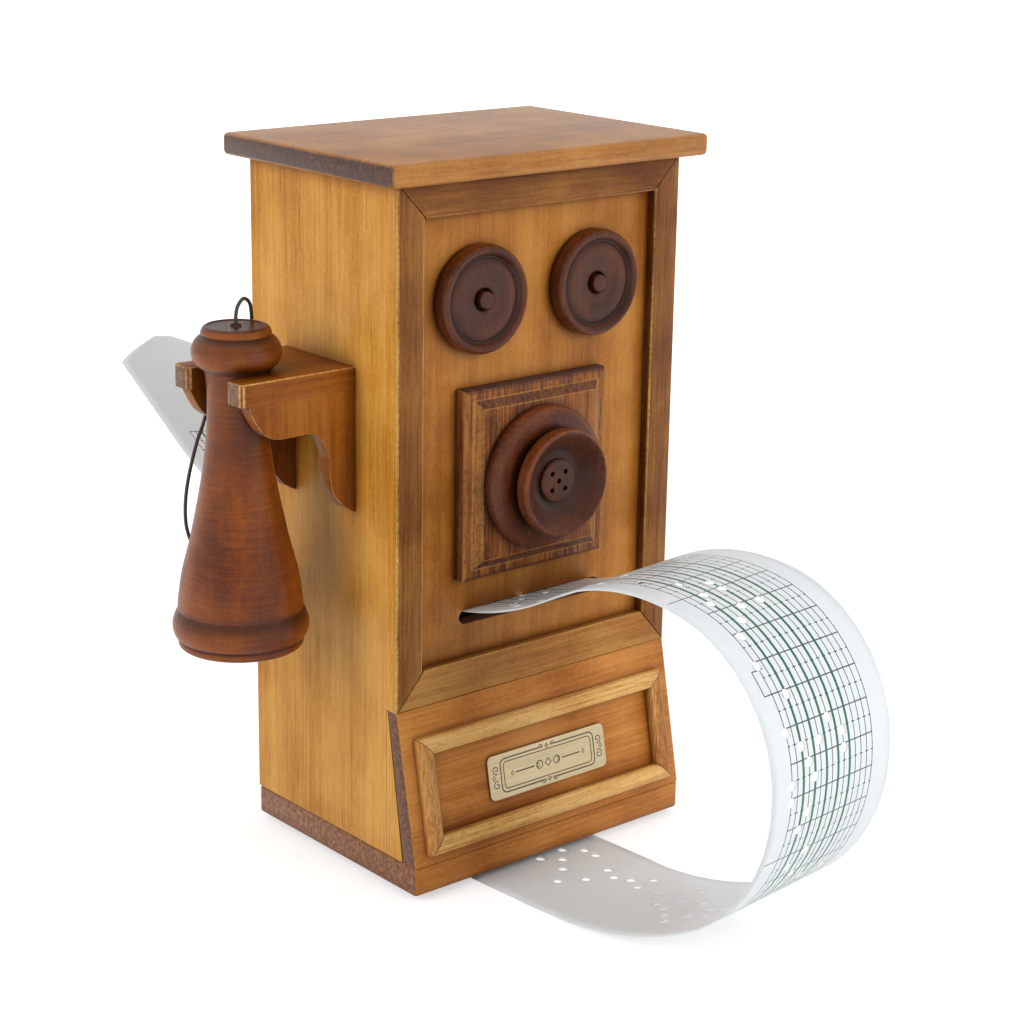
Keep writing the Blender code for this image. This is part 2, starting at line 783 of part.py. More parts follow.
def make_mouthpiece(case):
    half_width, half_height = plinth_width / 2, plinth_height / 2
    ease = plinth_edge_round
    flat = plinth_thickness
    steps = [(0, 0)]
    steps += [(ease - ease * cos(a), flat - ease + ease * sin(a)) for a in (0, pi / 6, pi / 3, pi / 2)]
    steps += [(plinth_border, flat), (plinth_border + plinth_bevel, flat + plinth_field_rise)]
    sections = []
    for inset, rise in steps:
        a, b = half_width - inset, half_height - inset
        depth = panel_face - seam - rise
        corners = ((-a, -b), (a, -b), (a, b), (-a, b))
        sections.append([Vector((plinth_shift + x, depth, plinth_level + z)) for x, z in corners])
    add("mouthpiece_plinth", "plinth stain", loft(sections), case)
    seat = panel_face - 2 * seam - plinth_thickness - plinth_field_rise
    foot = Vector((plinth_shift, seat, mouthpiece_level))
    disc = profile(disc_shares, disc_radius, disc_height)
    add("mouthpiece_back_disc", "chocolate lacquer", turned(disc, foot, (0, -1, 0), 32), case, smooth=True)
    seat_share = disc_shares[-1][-1][1]
    foot = foot - Vector((0, seat_share * disc_height + seam, 0))
    cup = profile(cup_shares, cup_radius, cup_height)
    piece = add("mouthpiece_cup", "chocolate lacquer", turned(cup, foot, (0, -1, 0), 32), case, smooth=True)
    face = foot - Vector((0, cup_shares[-1][-1][1] * cup_height, 0))
    places = [(0, 0)] + [(a * cup_hole_spread, b * cup_hole_spread) for a in (-1, 1) for b in (-1, 1)]
    cut(piece, [
        drill(f"cup_hole_cutter_{i}", case, face + Vector((x, 0, z)), (0, 1, 0),
              cup_hole_radius, cup_hole_depth, 8)
        for i, (x, z) in enumerate(places)
    ])


# Cradle and handset

def make_cradle(case):
    wall = -half_case - seam
    tip = -half_case - cradle_reach
    half = cradle_width / 2
    middle = (handset_axis.x, cradle_back)
    outline = [
        (wall, cradle_back - half), (wall, cradle_back + half),
        (tip + cradle_tip_chamfer, cradle_back + half), (tip, cradle_back + half - cradle_tip_chamfer),
        (tip, cradle_back + cradle_slot_half + cradle_mouth_chamfer),
        (tip + cradle_mouth_chamfer, cradle_back + cradle_slot_half),
    ]
    outline += arc(middle, cradle_slot_half, pi / 2, -pi, 14)
    outline += [
        (tip + cradle_mouth_chamfer, cradle_back - cradle_slot_half),
        (tip, cradle_back - cradle_slot_half - cradle_mouth_chamfer),
        (tip, cradle_back - half + cradle_tip_chamfer), (tip + cradle_tip_chamfer, cradle_back - half),
    ]
    add("cradle_fork", "cradle stain", prism(outline, "Z", cradle_top - cradle_thickness, cradle_top), case)

    top = cradle_top - cradle_thickness - seam
    leg_front = wall - bracket_leg_width
    joint = leg_front - seam
    arm_edge = [
        (joint - bracket_arm_length * (1 - along), top - bracket_arm_drop * down)
        for along, down in smooth_line(bracket_arm_shares, 2)
    ]
    arm = arm_edge + [(joint, top)]
    leg_edge = [
        (leg_front + bracket_leg_width * along, top - bracket_leg_drop * down)
        for along, down in smooth_line(bracket_leg_shares[1:], 2)
    ]
    leg = [(leg_front, top)] + leg_edge + [(wall, top)]
    for row, start in (("front", cradle_back - half), ("rear", cradle_back + half - bracket_thickness)):
        for part, outline in (("arm", arm), ("leg", leg)):
            shape = prism(outline, "Y", start, start + bracket_thickness)
            add(f"cradle_{row}_{part}", "cradle stain", shape, case)


def make_handset(handset):
    line = profile(handset_shares, handset_radius, handset_height)
    floor = handset_height - cord_hole_depth
    line += [(cord_hole_radius, handset_height), (cord_hole_radius, floor), (0, floor)]
    shape = turned(line, handset_axis, (0, 0, 1), 30)
    add("handset", "handset stain", shape, handset, smooth=True)


def make_cord(case):
    head = [(handset_axis.x + out, cradle_back + back, level) for out, back, level in cord_head_route]
    lane = [(handset_axis.x + out, cord_lane, level) for out, level in cord_lane_route]
    line = smooth_line(head + lane, 8)
    lengths = [0]
    for here, after in zip(line, line[1:]):
        lengths.append(lengths[-1] + (Vector(after) - Vector(here)).length)
    curve = bpy.data.curves.new("handset_cord", "CURVE")
    curve.dimensions = "3D"
    curve.bevel_depth = cord_radius
    curve.bevel_resolution = 2
    curve.use_fill_caps = True
    spline = curve.splines.new("POLY")
    spline.points.add(cord_points - 1)
    at = 0
    for i in range(cord_points):
        goal = lengths[-1] * i / (cord_points - 1)
        while at < len(lengths) - 2 and lengths[at + 1] < goal:
            at += 1
        share = (goal - lengths[at]) / (lengths[at + 1] - lengths[at])
        spline.points[i].co = (*Vector(line[at]).lerp(Vector(line[at + 1]), share), 1)
    curve.materials.append(material("handset_cord", "dark cord"))
    cord = bpy.data.objects.new("handset_cord", curve)
    cord.parent = case
    bpy.context.scene.collection.objects.link(cord)


# Card strip

# Stations along a strip that bends as listed: point, heading, across and distance gone
def follow(start, heading, across, bends, upward):
    point, gone = Vector(start), 0
    stations = [(point.copy(), heading.copy(), across.copy(), gone)]
    for radius, turn, slant in bends:
        turn, slant = radians(turn), radians(slant)
        length = abs(radius * turn) if turn else radius
        steps = ceil(length / strip_step)
        for _ in range(steps):
            line = across * cos(slant) + heading * sin(slant)
            bend = Matrix.Rotation(upward * turn / steps, 3, line)
            turned_heading = bend @ heading
            point = point + (heading + turned_heading) / 2 * length / steps
            heading, across, gone = turned_heading, bend @ across, gone + length / steps
            stations.append((point.copy(), heading.copy(), across.copy(), gone))
    return stations


# Where both halves of the strip begin, the way to the back, and the way across
def strip_start():
    point = Vector((strip_shift, movement_middle, strip_level))
    backward = Vector((-sin(strip_askew), cos(strip_askew), 0))
    return point, backward, Vector((cos(strip_askew), sin(strip_askew), 0))


# From the rollers out of the front slot, over and down to the floor, and back under the base
def front_stations():
    start, backward, across = strip_start()
    stations = follow(start, -backward, across, strip_front_bends, -1)
    point, heading, across, _ = stations[-1]
    floor = -pad_height + strip_floor_gap + strip_thickness / 2
    left = atan2(-heading.z, heading.y)
    radius = (point.z - floor) / (1 - cos(left))
    landing = ((radius, -degrees(left), strip_landing_slant),)
    stations += follow(point, heading, across, landing, -1)[1:]
    point, heading, across, gone = stations[-1]
    point = Vector((point.x, point.y, floor))
    heading = Vector((heading.x, heading.y, 0)).normalized()
    across = Vector((heading.y, -heading.x, 0))
    stations[-1] = (point, heading, across, gone)
    return stations + follow(point, heading, across, ((strip_tail_run, 0, 0),), -1)[1:]


# From the rollers out of the back slot, and up to the nose of the leading end
def back_stations():
    return follow(*strip_start(), strip_back_bends, 1)


# The strip's half width at a distance from the tip of its nose
def nose_half_width(left_over):
    half = strip_width / 2
    if left_over >= strip_nose_length:
        return half
    return strip_nose_width / 2 + (half - strip_nose_width / 2) * left_over / strip_nose_length


def strip_sections():
    lead = back_stations()
    end = lead[-1][3]
    near = [s for s in lead if end - s[3] > strip_nose_length]
    before, after = near[-1], lead[len(near)]
    share = (end - strip_nose_length - before[3]) / (after[3] - before[3])
    shoulder = tuple(a.lerp(b, share) for a, b in zip(before[:3], after[:3]))
    near.append((*shoulder, end - strip_nose_length))
    near.append(lead[-1])
    sections = []
    for point, heading, across, gone in reversed(near):
        half = nose_half_width(end - gone)
        sections.append((point, -heading, across, half))
    for point, heading, across, gone in front_stations()[1:]:
        sections.append((point, heading, across, strip_width / 2))
    return sections


def strip_corners():
    corners = []
    for point, heading, across, half in strip_sections():
        up = heading.cross(across).normalized() * strip_thickness / 2
        side = across.normalized() * half
        corners.append([point - side - up, point + side - up, point + side + up, point - side + up])
    return corners


def make_strip(case):
    add("paper_strip", "printed card", loft(strip_corners()), case)


# Movement

def gear_outline(axis, teeth, phase):
    pitch_radius = gear_module * teeth / 2
    tip = pitch_radius + addendum_share * gear_module
    root = pitch_radius - dedendum_share * gear_module
    step = 2 * pi / teeth
    tooth = (
        (root, -tooth_root_share), (tip, -tooth_tip_share),
        (tip, tooth_tip_share), (root, tooth_root_share),
    )
    outline = []
    for i in range(teeth):
        middle = phase + step * i
        for radius, share in tooth:
            angle = middle + share * step / 2
            outline.append((axis.y + radius * cos(angle), axis.z + radius * sin(angle)))
    return outline


# A closed body along x from outer outlines, each with its place, and a bore from end to end
def bored(outlines, bore, axis):
    sections = [[Vector((x, a, b)) for a, b in outline] for outline, x in outlines]
    angles = [atan2(b - axis.z, a - axis.y) for a, b in outlines[0][0]]
    for x in (outlines[-1][1], outlines[0][1]):
        sections.append([Vector((x, axis.y + bore * cos(t), axis.z + bore * sin(t))) for t in angles])
    return loft(sections, closed=True)


def make_gears(rollers, crank):
    big = gear_outline(roller_axis, gear_teeth, gear_line_angle)
    bore = roller_shaft_radius + running_gap
    add("feed_gear", "brushed brass", bored([(big, gear_start), (big, gear_end)], bore, roller_axis), rollers)
    phase = gear_line_angle + pi + pi / pinion_teeth
    small = gear_outline(crank_axis, pinion_teeth, phase)
    bore = rod_radius + running_gap
    shape = bored([(small, gear_start), (small, gear_end)], bore, crank_axis)
    add("crank_pinion", "brushed brass", shape, crank)


def star_outline(radius, root):
    steps = 2 * star_points
    return [
        (star_axis.y + (root if i % 2 else radius) * cos(pi * 2 * i / steps + pi / 2),
         star_axis.z + (root if i % 2 else radius) * sin(pi * 2 * i / steps + pi / 2))
        for i in range(steps)
    ]


def make_star_wheels(case, stars):
    star = star_outline(star_radius, star_root)
    sleeve = star_outline(star_sleeve_radius, star_sleeve_radius)
    half = cheek_inside - seam
    outlines = [(sleeve, -half)]
    for i in range(star_count):
        middle = (i - (star_count - 1) / 2) * star_pitch
        low, high = middle - star_width / 2, middle + star_width / 2
        outlines += [(sleeve, low), (star, low), (star, high), (sleeve, high)]
    outlines.append((sleeve, half))
    bore = star_spindle_radius + running_gap
    add("star_wheels", "brushed brass", bored(outlines, bore, star_axis), stars)
    end = cheek_inside + cheek_thickness
    line = ((0, -end), (star_spindle_radius, -end), (star_spindle_radius, end), (0, end))
    foot = Vector((0, star_axis.y, star_axis.z))
    add("star_spindle", "steel", turned(line, foot, (1, 0, 0), 14), case, smooth=True)


def make_rollers(rollers, presser):
    out = cheek_inside + cheek_thickness + seam
    far = gear_end + seam
    face = roller_half_length
    inner = face - roller_tyre_width
    line = (
        (0, -out), (roller_shaft_radius, -out), (roller_shaft_radius, -face), (roller_tyre_radius, -face),
        (roller_tyre_radius, -inner), (roller_radius, -inner), (roller_radius, inner),
        (roller_tyre_radius, inner), (roller_tyre_radius, face), (roller_shaft_radius, face),
        (roller_shaft_radius, far), (0, far),
    )
    add("feed_roller", "black rubber", turned(line, roller_axis, (1, 0, 0), 18), rollers, smooth=True)
    line = (
        (0, -out), (press_shaft_radius, -out), (press_shaft_radius, -face), (press_roller_radius, -face),
        (press_roller_radius, face), (press_shaft_radius, face), (press_shaft_radius, out), (0, out),
    )
    add("pressure_roller", "steel", turned(line, press_axis, (1, 0, 0), 18), presser, smooth=True)


def make_cheeks(case):
    nose = (press_axis.y, press_axis.z)
    front_round = press_axis.y - movement_front
    corner = (movement_back - cheek_corner_round, cheek_top_shoulder - cheek_corner_round)
    outline = [(movement_front, bed_level), (movement_back, bed_level)]
    outline += arc(corner, cheek_corner_round, 0, pi / 2, 4)
    outline += [(press_axis.y + front_round, cheek_top_shoulder)]
    outline += arc(nose, front_round, 0, pi, 10)
    for hand, side in (("left", -1), ("right", 1)):
        ends = sorted((side * cheek_inside, side * (cheek_inside + cheek_thickness)))
        cheek = add(f"movement_cheek_{hand}", "cast zinc", prism(outline, "X", *ends), case)
        shafts = [(star_axis, star_spindle_radius), (roller_axis, roller_shaft_radius)]
        shafts.append((press_axis, press_shaft_radius))
        if side > 0:
            shafts.append((crank_axis, rod_radius))
        cut(cheek, [
            drill(f"cheek_cutter_{hand}_{i}", case, Vector((ends[0], axis.y, axis.z)), (1, 0, 0),
                  radius + running_gap, cheek_thickness + overrun, 16)
            for i, (axis, radius) in enumerate(shafts)
        ])


def comb_screw_places():
    back = movement_back - rail_depth / 2
    top = comb_level + comb_thickness / 2 + seam
    sides = (("left", -1), ("right", 1))
    return [(f"comb_screw_{hand}", Vector((side * comb_screw_spread / 2, back, top))) for hand, side in sides]


def bed_screw_places():
    middle = (movement_front + rail_front) / 2
    return [
        (f"bed_screw_{hand}", Vector((side * bed_screw_spread / 2, middle, shelf_bottom - seam)))
        for hand, side in (("left", -1), ("right", 1))
    ]


def make_bed(case):
    half = cheek_inside - seam
    bed_top = bed_level + bed_thickness
    outline = (
        (movement_front, bed_level), (movement_back, bed_level), (movement_back, rail_top),
        (rail_front, rail_top), (rail_front, bed_top), (movement_front, bed_top),
    )
    bed = add("movement_bed", "cast zinc", prism(outline, "X", -half, half), case)
    low = (seam - inside_half, panel_back + seam, shelf_bottom)
    high = (inside_half - seam, back_face - seam, shelf_top)
    shelf = add("movement_shelf", "plain wood", block(low, high), case)
    for name, place in comb_screw_places():
        depth = comb_screw_length + overrun / 2
        cut(bed, [drill(f"{name}_bed_cutter", case, Vector((place.x, place.y, rail_top)), (0, 0, -1),
                        comb_screw_radius + running_gap, depth, 12)])
        screw(name, place, (0, 0, 1), comb_screw_radius, comb_screw_length, comb_screw_head_radius,
              comb_screw_head_height, case)
    length = shelf_thickness + bed_thickness * 2 / 3
    for name, place in bed_screw_places():
        reach = bed_screw_radius + running_gap
        cut(shelf, [drill(f"{name}_shelf_cutter", case, Vector((place.x, place.y, shelf_bottom)), (0, 0, 1),
                          reach, shelf_thickness + overrun, 12)])
        cut(bed, [drill(f"{name}_bed_cutter", case, Vector((place.x, place.y, bed_level)), (0, 0, 1),
                        reach, bed_thickness + overrun, 12)])
        screw(name, place, (0, 0, -1), bed_screw_radius, length, bed_screw_head_radius,
              bed_screw_head_height, case)


def make_comb(case):
    half_span = star_count * star_pitch / 2
    tooth = star_pitch - comb_tooth_gap
    back = movement_back
    outline = [(half_span + comb_edge, back), (-half_span - comb_edge, back)]
    outline.append((-half_span - comb_edge, back - rail_depth))
    for i in range(star_count):
        middle = (i - (star_count - 1) / 2) * star_pitch
        far = i / (star_count - 1)
        share = comb_long_tooth_share + (comb_short_tooth_share - comb_long_tooth_share) * far
        root = min(comb_tip_back + share * movement_depth, back - rail_depth)
        outline += [(middle - tooth / 2, root), (middle - tooth / 2, comb_tip_back),
                    (middle + tooth / 2, comb_tip_back), (middle + tooth / 2, root)]
    outline.append((half_span + comb_edge, back - rail_depth))
    low = comb_level - comb_thickness / 2
    comb = add("comb", "steel", prism(outline, "Z", low, low + comb_thickness), case)
    cut(comb, [
        drill(f"{name}_comb_cutter", case, Vector((place.x, place.y, low + comb_thickness)), (0, 0, -1),
              comb_screw_radius + running_gap, comb_thickness + overrun, 12)
        for name, place in comb_screw_places()
    ])


# Crank

# Middle line of the bent rod: shaft, arm and knob pin, each bend an arc
def rod_path():
    line = [Vector((rod_inner_end, crank_axis.y, crank_axis.z))]
    for x, z, start in (
        (arm_plane - rod_bend, crank_axis.z - rod_bend, pi / 2),
        (arm_plane + rod_bend, knob_axis.z + rod_bend, pi),
    ):
        turn = -pi / 2 if start == pi / 2 else pi / 2
        for a, b in arc((x, z), rod_bend, start, turn, 6):
            line.append(Vector((a, crank_axis.y, b)))
    line.append(Vector((knob_start + knob_length - knob_cap - seam, crank_axis.y, knob_axis.z)))
    return line


def make_crank(case, crank, knob):
    line = rod_path()
    sections = []
    for i, point in enumerate(line):
        before, after = line[max(i - 1, 0)], line[min(i + 1, len(line) - 1)]
        heading = (after - before).normalized()
        out = Vector((0, 1, 0)).cross(heading)
        sections.append([
            point + (Vector((0, 1, 0)) * cos(a) + out * sin(a)) * rod_radius
            for a in (2 * pi * k / 12 for k in range(12))
        ])
    add("crank_rod", "steel", loft(sections), crank, smooth=True)

    foot = Vector((knob_start, knob_axis.y, knob_axis.z))
    bore = rod_radius + running_gap
    line = [(bore, 0)] + profile(knob_shares, knob_radius, knob_length)
    line += [(0, knob_length - knob_cap), (bore, knob_length - knob_cap)]
    shape = turned(line, foot, (1, 0, 0), 20, closed=True)
    add("crank_knob", "black knob", shape, knob, smooth=True)

    inner = inside_half - overrun / 4
    flange = half_case + seam
    end = flange + bushing_flange_height
    line = (
        (rod_radius + running_gap, inner), (bushing_radius, inner), (bushing_radius, flange),
        (bushing_flange_radius, flange), (bushing_flange_radius, end - seam),
        (bushing_flange_radius - seam, end), (rod_radius + running_gap, end),
    )
    foot = Vector((0, crank_axis.y, crank_axis.z))
    add("crank_bushing", "brushed brass", turned(line, foot, (1, 0, 0), 20, closed=True), case, smooth=True)


# Whole object

# Where the case's frame lies when the whole object stands on the floor, centred over it
def music_box_place():
    left = handset_axis.x - handset_radius
    right = knob_start + knob_length
    reach = [corner.y for section in strip_corners() for corner in section]
    return Vector((-(left + right) / 2, -(min(reach) + max(reach)) / 2, pad_height))


def build():
    clear_scene()
    case = empty("music_box", music_box_place())
    handset = empty("handset_seat", handset_axis, case)
    rollers = empty("feed_roller_axis", roller_axis, case)
    presser = empty("pressure_roller_axis", press_axis, case)
    stars = empty("star_wheel_axis", star_axis, case)
    crank = empty("crank_axis", crank_axis, case)
    knob = empty("crank_knob_axis", knob_axis, case)
    make_top_and_base(case)
    make_side_panels(case)
    make_back_panel(case)
    make_front_panel(case)
    make_frame(case)
    make_flare(case)
    make_moulding(case)
    make_name_plate(case)
    make_bells(case)
    make_mouthpiece(case)
    make_cradle(case)
    make_handset(handset)
    make_cord(case)
    make_bed(case)
    make_cheeks(case)
    make_comb(case)
    make_star_wheels(case, stars)
    make_rollers(rollers, presser)
    make_gears(rollers, crank)
    make_crank(case, crank, knob)
    make_strip(case)


build()
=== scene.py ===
# Looks of the hand-crank music box in a wall-telephone case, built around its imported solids.
# Sizes here are in millimetres in the case's own frame (x from the middle of the front, y from the
# front frame to the back, z from the underside of the base) and turned to metres by spot().

import math
import random
from bisect import bisect_right
from functools import partial

import bmesh
import bpy
from mathutils import Matrix, Vector


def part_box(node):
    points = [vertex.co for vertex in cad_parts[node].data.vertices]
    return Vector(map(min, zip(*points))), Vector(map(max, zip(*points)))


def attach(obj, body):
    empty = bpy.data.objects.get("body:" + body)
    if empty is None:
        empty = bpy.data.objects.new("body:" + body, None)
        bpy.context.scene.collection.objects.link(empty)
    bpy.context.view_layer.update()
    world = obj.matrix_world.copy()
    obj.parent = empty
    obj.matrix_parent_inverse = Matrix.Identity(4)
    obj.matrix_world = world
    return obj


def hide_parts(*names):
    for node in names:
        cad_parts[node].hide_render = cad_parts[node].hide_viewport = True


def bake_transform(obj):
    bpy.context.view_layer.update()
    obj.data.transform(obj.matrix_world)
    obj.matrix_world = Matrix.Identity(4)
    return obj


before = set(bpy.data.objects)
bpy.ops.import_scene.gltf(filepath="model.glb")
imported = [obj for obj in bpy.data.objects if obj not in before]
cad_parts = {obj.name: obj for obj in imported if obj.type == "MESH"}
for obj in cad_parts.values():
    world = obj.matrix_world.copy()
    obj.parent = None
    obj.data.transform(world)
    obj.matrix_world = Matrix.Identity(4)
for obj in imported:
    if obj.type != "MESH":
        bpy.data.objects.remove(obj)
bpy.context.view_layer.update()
print("frame loaded:", len(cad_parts), "nodes")


def boxSpot(node, *shares):
    # a point of the solid's box, at those shares of its width, depth and height
    low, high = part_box(node)
    return Vector([l + (h - l) * share for l, h, share in zip(low, high, shares)])


caseOrigin = boxSpot("base_plate", 0.5, 0, 0)
caseOrigin.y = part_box("frame_stile_left")[0].y


def spot(x, y, z):
    return caseOrigin + Vector((x, y, z)) / 1000


def linearColour(hexText):
    parts = [int(hexText[i:i + 2], 16) / 255 for i in (1, 3, 5)]
    return tuple(c / 12.92 if c <= 0.04045 else ((c + 0.055) / 1.055) ** 2.4 for c in parts) + (1,)


def setNode(node, settings):
    # Settings go to the node's sockets by name or number, and else to the node itself. Another
    # node's output is linked, the first one where only the node is named.
    for key, value in settings.items():
        if isinstance(value, bpy.types.Node):
            value = value.outputs[0]
        if isinstance(value, bpy.types.NodeSocket):
            node.id_data.links.new(value, node.inputs[key])
        elif key == "stops":
            ramp = node.color_ramp.elements
            while len(ramp) < len(value):
                ramp.new(0.5)
            for element, (place, colour) in zip(ramp, value):
                element.position = place
                element.color = linearColour(colour)
        elif isinstance(key, int) or key in node.inputs:
            node.inputs[key].default_value = value
        else:
            setattr(node, key, value)
    return node


def addNode(tree, kind, settings={}):
    return setNode(tree.nodes.new("ShaderNode" + kind), settings)


def newMaterial(name):
    # with what adds a node to it, its shader and its coordinates
    material = bpy.data.materials.new(name)
    material.use_nodes = True
    add = partial(addNode, material.node_tree)
    return material, add, material.node_tree.nodes["Principled BSDF"], add("TexCoord")


def linked(name, data):
    made = bpy.data.objects.new(name, data)
    bpy.context.scene.collection.objects.link(made)
    return made


def objectFrom(bm, name, smoothAngle=None):
    mesh = bpy.data.meshes.new(name)
    bm.to_mesh(mesh)
    bm.free()
    if smoothAngle:
        mesh.shade_smooth()
        mesh.set_sharp_from_angle(angle=math.radians(smoothAngle))
    return linked(name, mesh)


def meshOf(piece):
    bpy.context.view_layer.update()
    return bpy.data.meshes.new_from_object(piece.evaluated_get(bpy.context.evaluated_depsgraph_get()))


def drilled(piece, tools):
    # cut the tools out of the piece for good, and clear them away
    cut = piece.modifiers.new("drilling", "BOOLEAN")
    cut.object = tools
    piece.data = meshOf(piece)
    piece.modifiers.clear()
    bpy.data.objects.remove(tools)


def solidMesh(node, degrees):
    # the solid's own mesh, welded, with faces joined that lie flat within so many degrees
    bm = bmesh.new()
    bm.from_mesh(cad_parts[node].data)
    bmesh.ops.remove_doubles(bm, verts=bm.verts, dist=1e-6)
    bmesh.ops.dissolve_limit(bm, angle_limit=math.radians(degrees), verts=bm.verts, edges=bm.edges)
    return bm


def eased(piece, widthMm, segments):
    # rounds the edges that have a bevel weight
    soft = piece.modifiers.new("easedEdges", "BEVEL")
    soft.limit_method = "WEIGHT"
    soft.width = widthMm / 1000
    soft.segments = segments
    return soft


def dress(piece, material, body, slot, *nodes):
    # the finish, the body that it rides on, the record's slot, which is not used, and the solids that it
    # stands for
    if material:
        piece.data.materials.clear()
        piece.data.materials.append(material)
    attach(piece, body)
    if nodes:
        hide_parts(*nodes)
    return piece


def stainedWood(name, look):
    # Grain runs along look["grain"]. Streaks and bands are in mm across it, and the ends of the
    # fibres drink more stain, so faces across the grain turn dark and mottled. The finest fibres are
    # drawn coarse, 0.5 mm wide, so that they show.
    material, add, shader, place = newMaterial(name)
    axis = "XYZ".index(look["grain"])

    def stretched(times):
        scale = [1000.0] * 3
        scale[axis] = 1000 / times
        return add("Mapping", {"Scale": scale, "Vector": place.outputs["Object"]})

    fibre, short, even = stretched(look["stretch"]), stretched(9), stretched(1)
    bands = add("TexNoise", {
        "Scale": 1 / look["bandMm"], "Detail": 3.0, "Distortion": 0.6, "Vector": fibre})
    streaks = add("TexNoise", {
        "Scale": 1 / look["streakMm"], "Detail": 4.0, "Roughness": 0.6, "Vector": fibre})
    if look["turned"]:
        # marks of the turning tool run round the piece, across its upright grain
        marks = add("Mapping", {"Scale": (40, 40, 1000), "Vector": place.outputs["Object"]})
    else:
        marks = stretched(24)
    fine = add("TexNoise", {"Scale": 1 / 0.5, "Detail": 2.0, "Roughness": 0.7, "Vector": marks})
    blotches = add("TexNoise", {"Scale": 1 / look["blotchMm"], "Detail": 4.0, "Vector": even})
    specks = add("TexNoise", {"Scale": 1 / 1.1, "Detail": 4.0, "Roughness": 0.65, "Vector": even})
    layers = ((look["bandShare"], bands), (look["streakShare"], streaks),
              (look["fineShare"], fine), (look["blotchShare"], blotches),
              (look["speckShare"], specks))
    tone = add("Value")
    tone.outputs[0].default_value = 0.5 - sum(share for share, layer in layers) / 2
    for share, layer in layers:
        tone = add("Math", {"operation": "MULTIPLY_ADD", 1: share, 0: layer, 2: tone})
    colour = add("ValToRGB", {"stops": list(zip((0.32, 0.5, 0.68), look["tones"])), "Fac": tone})
    # open pores, as short dark dashes
    pores = add("TexNoise", {"Scale": 1 / 0.5, "Detail": 2.0, "Vector": short})
    dashes = add("MapRange", {
        "From Min": 0.6, "From Max": 0.7, "To Max": look["poreShare"], "Value": pores})
    surface = add("Mix", {"data_type": "RGBA", 7: linearColour(look["pore"]), 0: dashes, 6: colour})
    # ends of the fibres
    normal = add("SeparateXYZ", {0: place.outputs["Normal"]})
    facing = add("Math", {"operation": "ABSOLUTE", 0: normal.outputs[axis]})
    endMask = add("MapRange", {"From Min": 0.55, "From Max": 0.85, "Value": facing})
    endColour = add("ValToRGB", {"stops": list(zip((0.36, 0.52, 0.68), look["ends"])), "Fac": specks})
    withEnds = add("Mix", {"data_type": "RGBA", 0: endMask, 6: surface.outputs[2], 7: endColour})
    # painted shade: darker in turned hollows, from the mesh's own painted-shade attribute, and in
    # corners, from ambient occlusion
    stain = add("Attribute", {"attribute_name": "stain"})
    hollow = add("AmbientOcclusion", {"samples": 6, "Distance": look["hollowMm"] / 1000})
    shadeAmount = add("MapRange", {
        "From Min": 0.92, "From Max": 0.4, "To Max": look["cornerShadeShare"], "Value": hollow.outputs["AO"]})
    deepest = add("Math", {"operation": "MAXIMUM", 0: stain.outputs["Fac"], 1: shadeAmount})
    uneven = add("MapRange", {"From Min": 0.3, "From Max": 0.6, "To Min": 0.75, "Value": specks})
    shadeDepth = add("Math", {"operation": "MULTIPLY", 0: deepest, 1: uneven})
    shaded = add("Mix", {
        "data_type": "RGBA", 7: linearColour(look["stain"]), 0: shadeDepth, 6: withEnds.outputs[2]})
    # edges sanded through to the pale wood, in patches, and the plinth's upright bevels painted pale as
    # painted light
    wear = add("Attribute", {"attribute_name": "wear"})
    patches = add("TexNoise", {"Scale": 1 / 16, "Detail": 3.0, "Vector": even})
    kept = add("MapRange", {
        "From Min": 0.36, "From Max": 0.6, "To Min": look["wearAndLightLeast"],
        "To Max": look["wearAndLightShare"], "Value": patches})
    broken = add("MapRange", {"From Min": 0.36, "From Max": 0.56, "To Min": 0.35, "Value": specks})
    wornAndLit = add("Math", {"operation": "MULTIPLY", 0: wear.outputs["Fac"], 1: kept})
    wornAndLit = add("Math", {"operation": "MULTIPLY", 0: wornAndLit, 1: broken})
    finished = add("Mix", {
        "data_type": "RGBA", 7: linearColour(look["wornAndLit"]), 0: wornAndLit, 6: shaded.outputs[2]})
    rough = add("MapRange", {
        "From Min": 0.35, "From Max": 0.65, "To Min": look["rough"] - 0.06,
        "To Max": look["rough"] + 0.1, "Value": specks})
    grooves = add("Math", {"operation": "MULTIPLY_ADD", 1: -1.5, 0: dashes, 2: fine})
    relief = add("Math", {"operation": "MULTIPLY_ADD", 1: 0.8, 0: specks, 2: grooves})
    bump = add("Bump", {"Strength": 0.35, "Distance": 0.00008, "Height": relief})
    setNode(shader, {
        "Base Color": finished.outputs[2], "Roughness": rough, "Normal": bump, "Coat Roughness": 0.3,
        "Specular IOR Level": look["sheen"], "Coat Weight": look["coat"]})
    return material


